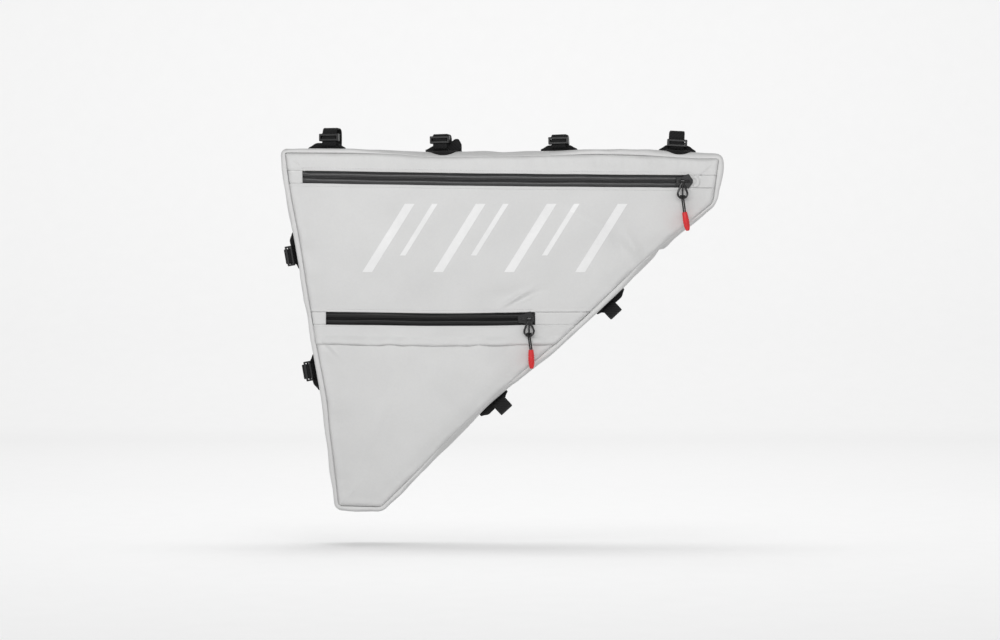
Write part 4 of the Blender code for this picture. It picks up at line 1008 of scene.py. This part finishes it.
def make_patch(seat):
    """The reinforcing cloth under a strap, wrapped over the rolled edge where it reaches so far."""
    rows, columns = 33, 41
    middle = fine_place(seat.base.xz)
    u, v = np.meshgrid(np.linspace(-1.0, 1.0, columns), np.linspace(0.0, 1.0, rows))
    belly = 1.0 - np.abs(u) ** 2.2
    lowest = lerp(0.32, 0.05, (seat.reach / PATCH_REACH - 0.30) / 0.70)
    low = lerp(0.5 - TAB_HALF_DEPTH / BAG_DEPTH, lowest, belly)
    s, t = middle - seat.shift + u * TAB_LENGTH / 2, lerp(low, 1.0 - low, v)
    points = gusset_surface(s, t)
    along = gusset_surface(s + 0.0005, t) - gusset_surface(s - 0.0005, t)
    across_it = gusset_surface(s, np.clip(t + 0.004, 0, 1)) - gusset_surface(s, np.clip(t - 0.004, 0, 1))
    normal = np.cross(along, across_it)
    normal /= np.linalg.norm(normal, axis=-1, keepdims=True)
    if normal[rows // 2, columns // 2].dot(np.array(seat.out)) < 0:
        normal = -normal
    points = points + normal * 0.0013
    piece = new_piece(seat.name + "_base_cloth", points.reshape(-1, 3), grid_faces(rows, columns), TABCLOTH,
                      np.stack([s.ravel(), t.ravel() * BAG_DEPTH], 1))
    facing(piece, seat.out)
    solidify(piece, PATCH_THICKNESS)
    dressed(piece, "bag", "webbing", seat.name + "_patch")


def make_straps():
    for strap in STRAPS:
        seat = Seat(strap)
        make_patch(seat)
        make_tab(seat)
        loop = band(seat.name + "_loop", loop_path(seat), seat, WEB)
        dressed(loop, "bag", "webbing", seat.name + "_webbing")
        if seat.name + "_buckle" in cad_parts:
            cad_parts[seat.name + "_buckle"].material_slots[0].material = PLASTIC


# Pulls

def smooth_line(points, per_step):
    """A smooth line through the points."""
    points = [np.array(p, float) for p in points]
    out = []
    for k in range(len(points) - 1):
        p0, p1 = points[max(k - 1, 0)], points[k]
        p2, p3 = points[k + 1], points[min(k + 2, len(points) - 1)]
        for j in range(per_step):
            t = j / per_step
            out.append(0.5 * ((2 * p1) + (p2 - p0) * t + (2 * p0 - 5 * p1 + 4 * p2 - p3) * t ** 2
                              + (3 * p1 - p0 - 3 * p2 + p3) * t ** 3))
    out.append(points[-1])
    return out


def wire_curve(name, points, radius, skin, resolution):
    data = bpy.data.curves.new(name, "CURVE")
    data.dimensions = "3D"
    data.bevel_depth = radius
    data.bevel_resolution = resolution
    data.use_fill_caps = True
    line = data.splines.new("POLY")
    line.points.add(len(points) - 1)
    for target, point in zip(line.points, points):
        target.co = (*point, 1.0)
    line.use_smooth = True
    data.materials.append(skin)
    curve = bpy.data.objects.new(name, data)
    bpy.context.scene.collection.objects.link(curve)
    return curve


def cord_points(hinge, lean_cord, lean_sleeve):
    """Points of the doubled cord, the place where it leaves the grip, and the ring's wire."""
    lean_cord, lean_sleeve = math.radians(lean_cord), math.radians(lean_sleeve)
    wire = Vector((hinge.x, hinge.y, hinge.z - PULLER_DROP + PULLER_WIRE / 2))
    hang = Vector((math.sin(lean_sleeve), 0.0, -math.cos(lean_sleeve)))
    top = wire + Vector((math.sin(lean_cord), 0.0, -math.cos(lean_cord))) * CORD_DROP
    away = PULLER_WIRE / 2 + CORD_DIAMETER / 2 + GAP
    inside = CORD_DIAMETER / 2 + GAP / 2
    lift = away + 0.3 * PULLER_WIRE
    level_x, up, front = Vector((1, 0, 0)), Vector((0, 0, 1)), Vector((0, -1, 0))
    side = Vector((math.cos(lean_sleeve), 0.0, math.sin(lean_sleeve)))

    def strand(sign):
        rows = [top + hang * CORD_IN_SLEEVE + side * (sign * inside), top + side * (sign * inside)]
        for share in (0.35, 0.7, 1.0):
            aside = side.lerp(level_x, share) * (sign * inside)
            rows.append(top.lerp(wire, share) + aside + front * (away * share))
        for degrees in (35.0, 70.0):
            turn = math.radians(degrees)
            spread_x = level_x * (sign * lerp(inside, away, degrees / 90.0))
            rows.append(wire + spread_x + front * (lift * math.cos(turn)) + up * (lift * math.sin(turn)))
        rows.append(wire + level_x * (sign * away * 0.97) - front * (0.25 * away) + up * lift)
        rows.append(wire + level_x * (sign * away * 0.6) - front * (0.8 * away) + up * lift)
        return rows

    points = [*strand(1), wire - front * (1.02 * away) + up * lift, *reversed(strand(-1))]
    return points, top, wire


def make_pulls():
    for name, hinge, lean_cord, lean_sleeve in PULLS:
        body = name + "_pull"
        points, top, wire = cord_points(hinge, lean_cord, lean_sleeve)
        line = smooth_line(points, 3)
        cord = wire_curve(name + "_cord", line, CORD_DIAMETER / 2, CORD, 3)
        grip = make_grip(name, top, lean_sleeve)
        dressed(grip, body, "red_grip", name + "_sleeve")
        dressed(cord, body, "cord", name + "_pull_cord")
        for node in (name + "_puller", name + "_slider"):
            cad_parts[node].material_slots[0].material = METAL


def make_grip(name, top, lean):
    """The rubber grip, turned round its line, with a socket for the cord."""
    socket = CORD_DIAMETER + GAP * 1.8
    neck = max(SLEEVE_NECK / 2, socket + 2 * GAP)
    belly = SLEEVE_WIDTH / 2
    length = SLEEVE_LENGTH
    rows = [(0.0, -CORD_IN_SLEEVE - GAP), (socket, -CORD_IN_SLEEVE - GAP), (socket, -0.0003),
            (socket + 0.0001, 0.0), (neck - 0.0003, 0.0), (neck, -0.0004)]
    table = ((0.02, neck), (0.22, lerp(neck, belly, 0.45)), (0.48, belly), (0.74, lerp(neck, belly, 0.55)),
             (0.93, 0.86 * neck), (1.0, 0.62 * neck))
    for share in np.linspace(0.03, 0.985, 58):
        groove = sum(0.00038 * math.exp(-((share - ring) / 0.020) ** 2) for ring in (0.36, 0.49, 0.62))
        rows.append((eased(table, share) - groove, -share * length))
    rows += [(0.52 * neck, -0.993 * length), (0.35 * neck, -length), (0.0, -length)]
    steps = 40
    tilt = Matrix.Rotation(-math.radians(lean), 4, "Y")
    points = []
    for radius, z in rows:
        for k in range(steps):
            angle = 2 * math.pi * k / steps
            points.append(top + tilt @ Vector((radius * math.cos(angle), radius * math.sin(angle), z)))
    faces = grid_faces(len(rows), steps, wrap=True)
    return facing_out(new_piece(name + "_grip", points, faces, RED), weld=1e-6)


# Studio

def make_studio():
    profile = [(PAPER_START, 0.0), (PAPER_BEND, 0.0)]
    profile += [(PAPER_BEND + PAPER_ROUND * math.sin(turn), PAPER_ROUND - PAPER_ROUND * math.cos(turn))
                for turn in np.linspace(0.08, math.pi / 2, 16)]
    profile += [(PAPER_BEND + PAPER_ROUND, PAPER_TOP)]
    points = [(x, y, FLOOR + z) for y, z in profile for x in (-PAPER_HALF, PAPER_HALF)]
    material, look = new_material("studio_paper", (0.5, 0.5, 0.5), 0.9, gloss=0.0)
    where = look.place("Object")
    look.tint(look.noise(where, 30.0), (1.0, 1.0, 1.0), (0.3, 0.495), (0.7, 0.505))
    look.shader.inputs["Emission Color"].default_value = (1.0, 1.0, 1.0, 1.0)
    split = look.add("ShaderNodeSeparateXYZ")
    look.feed(where, split, 0)
    height = look.mapped(split.outputs["Z"], 0.0, 1.0, FLOOR, FLOOR + GLOW_HEIGHT)
    by_height = look.ramp(height, [(place, (level,) * 3) for place, level in PAPER_GLOW])
    by_depth = look.mapped(split.outputs["Y"], 0.0, 0.060, 0.9, 2.1)
    look.feed(look.maths("ADD", by_height, by_depth), look.shader, "Emission Strength")
    floor = new_piece("studio_floor", points, grid_faces(len(profile), 2), material)
    facing(floor, (0, -0.3, 1))
    floor.visible_diffuse = False
    world = bpy.data.worlds.new("studio")
    bpy.context.scene.world = world
    look = Look(world, "Background")
    look.shader.inputs["Color"].default_value = (1.0, 1.0, 1.0, 1.0)
    upwards = look.add("ShaderNodeSeparateXYZ")
    look.feed(look.place("Generated"), upwards, 0)
    above, below = (look.maths("MULTIPLY", upwards.outputs["Z"], factor) for factor in (0.68, -0.45))
    look.feed(look.maths("SUBTRACT", 0.75, look.maths("MAXIMUM", above, below)), look.shader, "Strength")
    bpy.context.scene.view_settings.view_transform = "Standard"

    def area(name, place, target, size, power, on_paper):
        data = bpy.data.lights.new(name, "AREA")
        data.energy = power
        data.shape = "RECTANGLE"
        data.size, data.size_y = size
        light = bpy.data.objects.new(name, data)
        light.location = place
        light.rotation_euler = (Vector(target) - Vector(place)).to_track_quat("-Z", "Y").to_euler()
        bpy.context.scene.collection.objects.link(light)
        linked = bpy.data.collections.new(name + "_linked")
        linked.objects.link(floor)
        linked.collection_objects[0].light_linking.link_state = "INCLUDE" if on_paper else "EXCLUDE"
        light.light_linking.receiver_collection = linked

    area("key", (-0.15, -1.15, 0.35), (0.0, 0.0, -0.10), (1.3, 0.35), 6.3, False)
    area("paper_top", (0.0, 0.0, 1.75), (0.0, 0.0, -0.4), (0.7, 2.4), 24.5, True)
    area("paper_wall", (0.0, 0.6, 3.6), (0.0, 3.2, 0.4), (4.0, 1.5), 90.0, True)

    camera = bpy.data.cameras.new("camera")
    camera.lens = CAMERA_LENS
    camera.sensor_width = 36.0
    camera.clip_end = 100.0
    view = bpy.data.objects.new("camera", camera)
    view.location = CAMERA_PLACE
    view.rotation_euler = (math.pi / 2, 0.0, 0.0)
    bpy.context.scene.collection.objects.link(view)
    bpy.context.scene.camera = view


for make in (make_studio, make_pulls, make_front, make_patches, make_zips, make_back, make_gusset, make_print,
             make_straps):
    make()
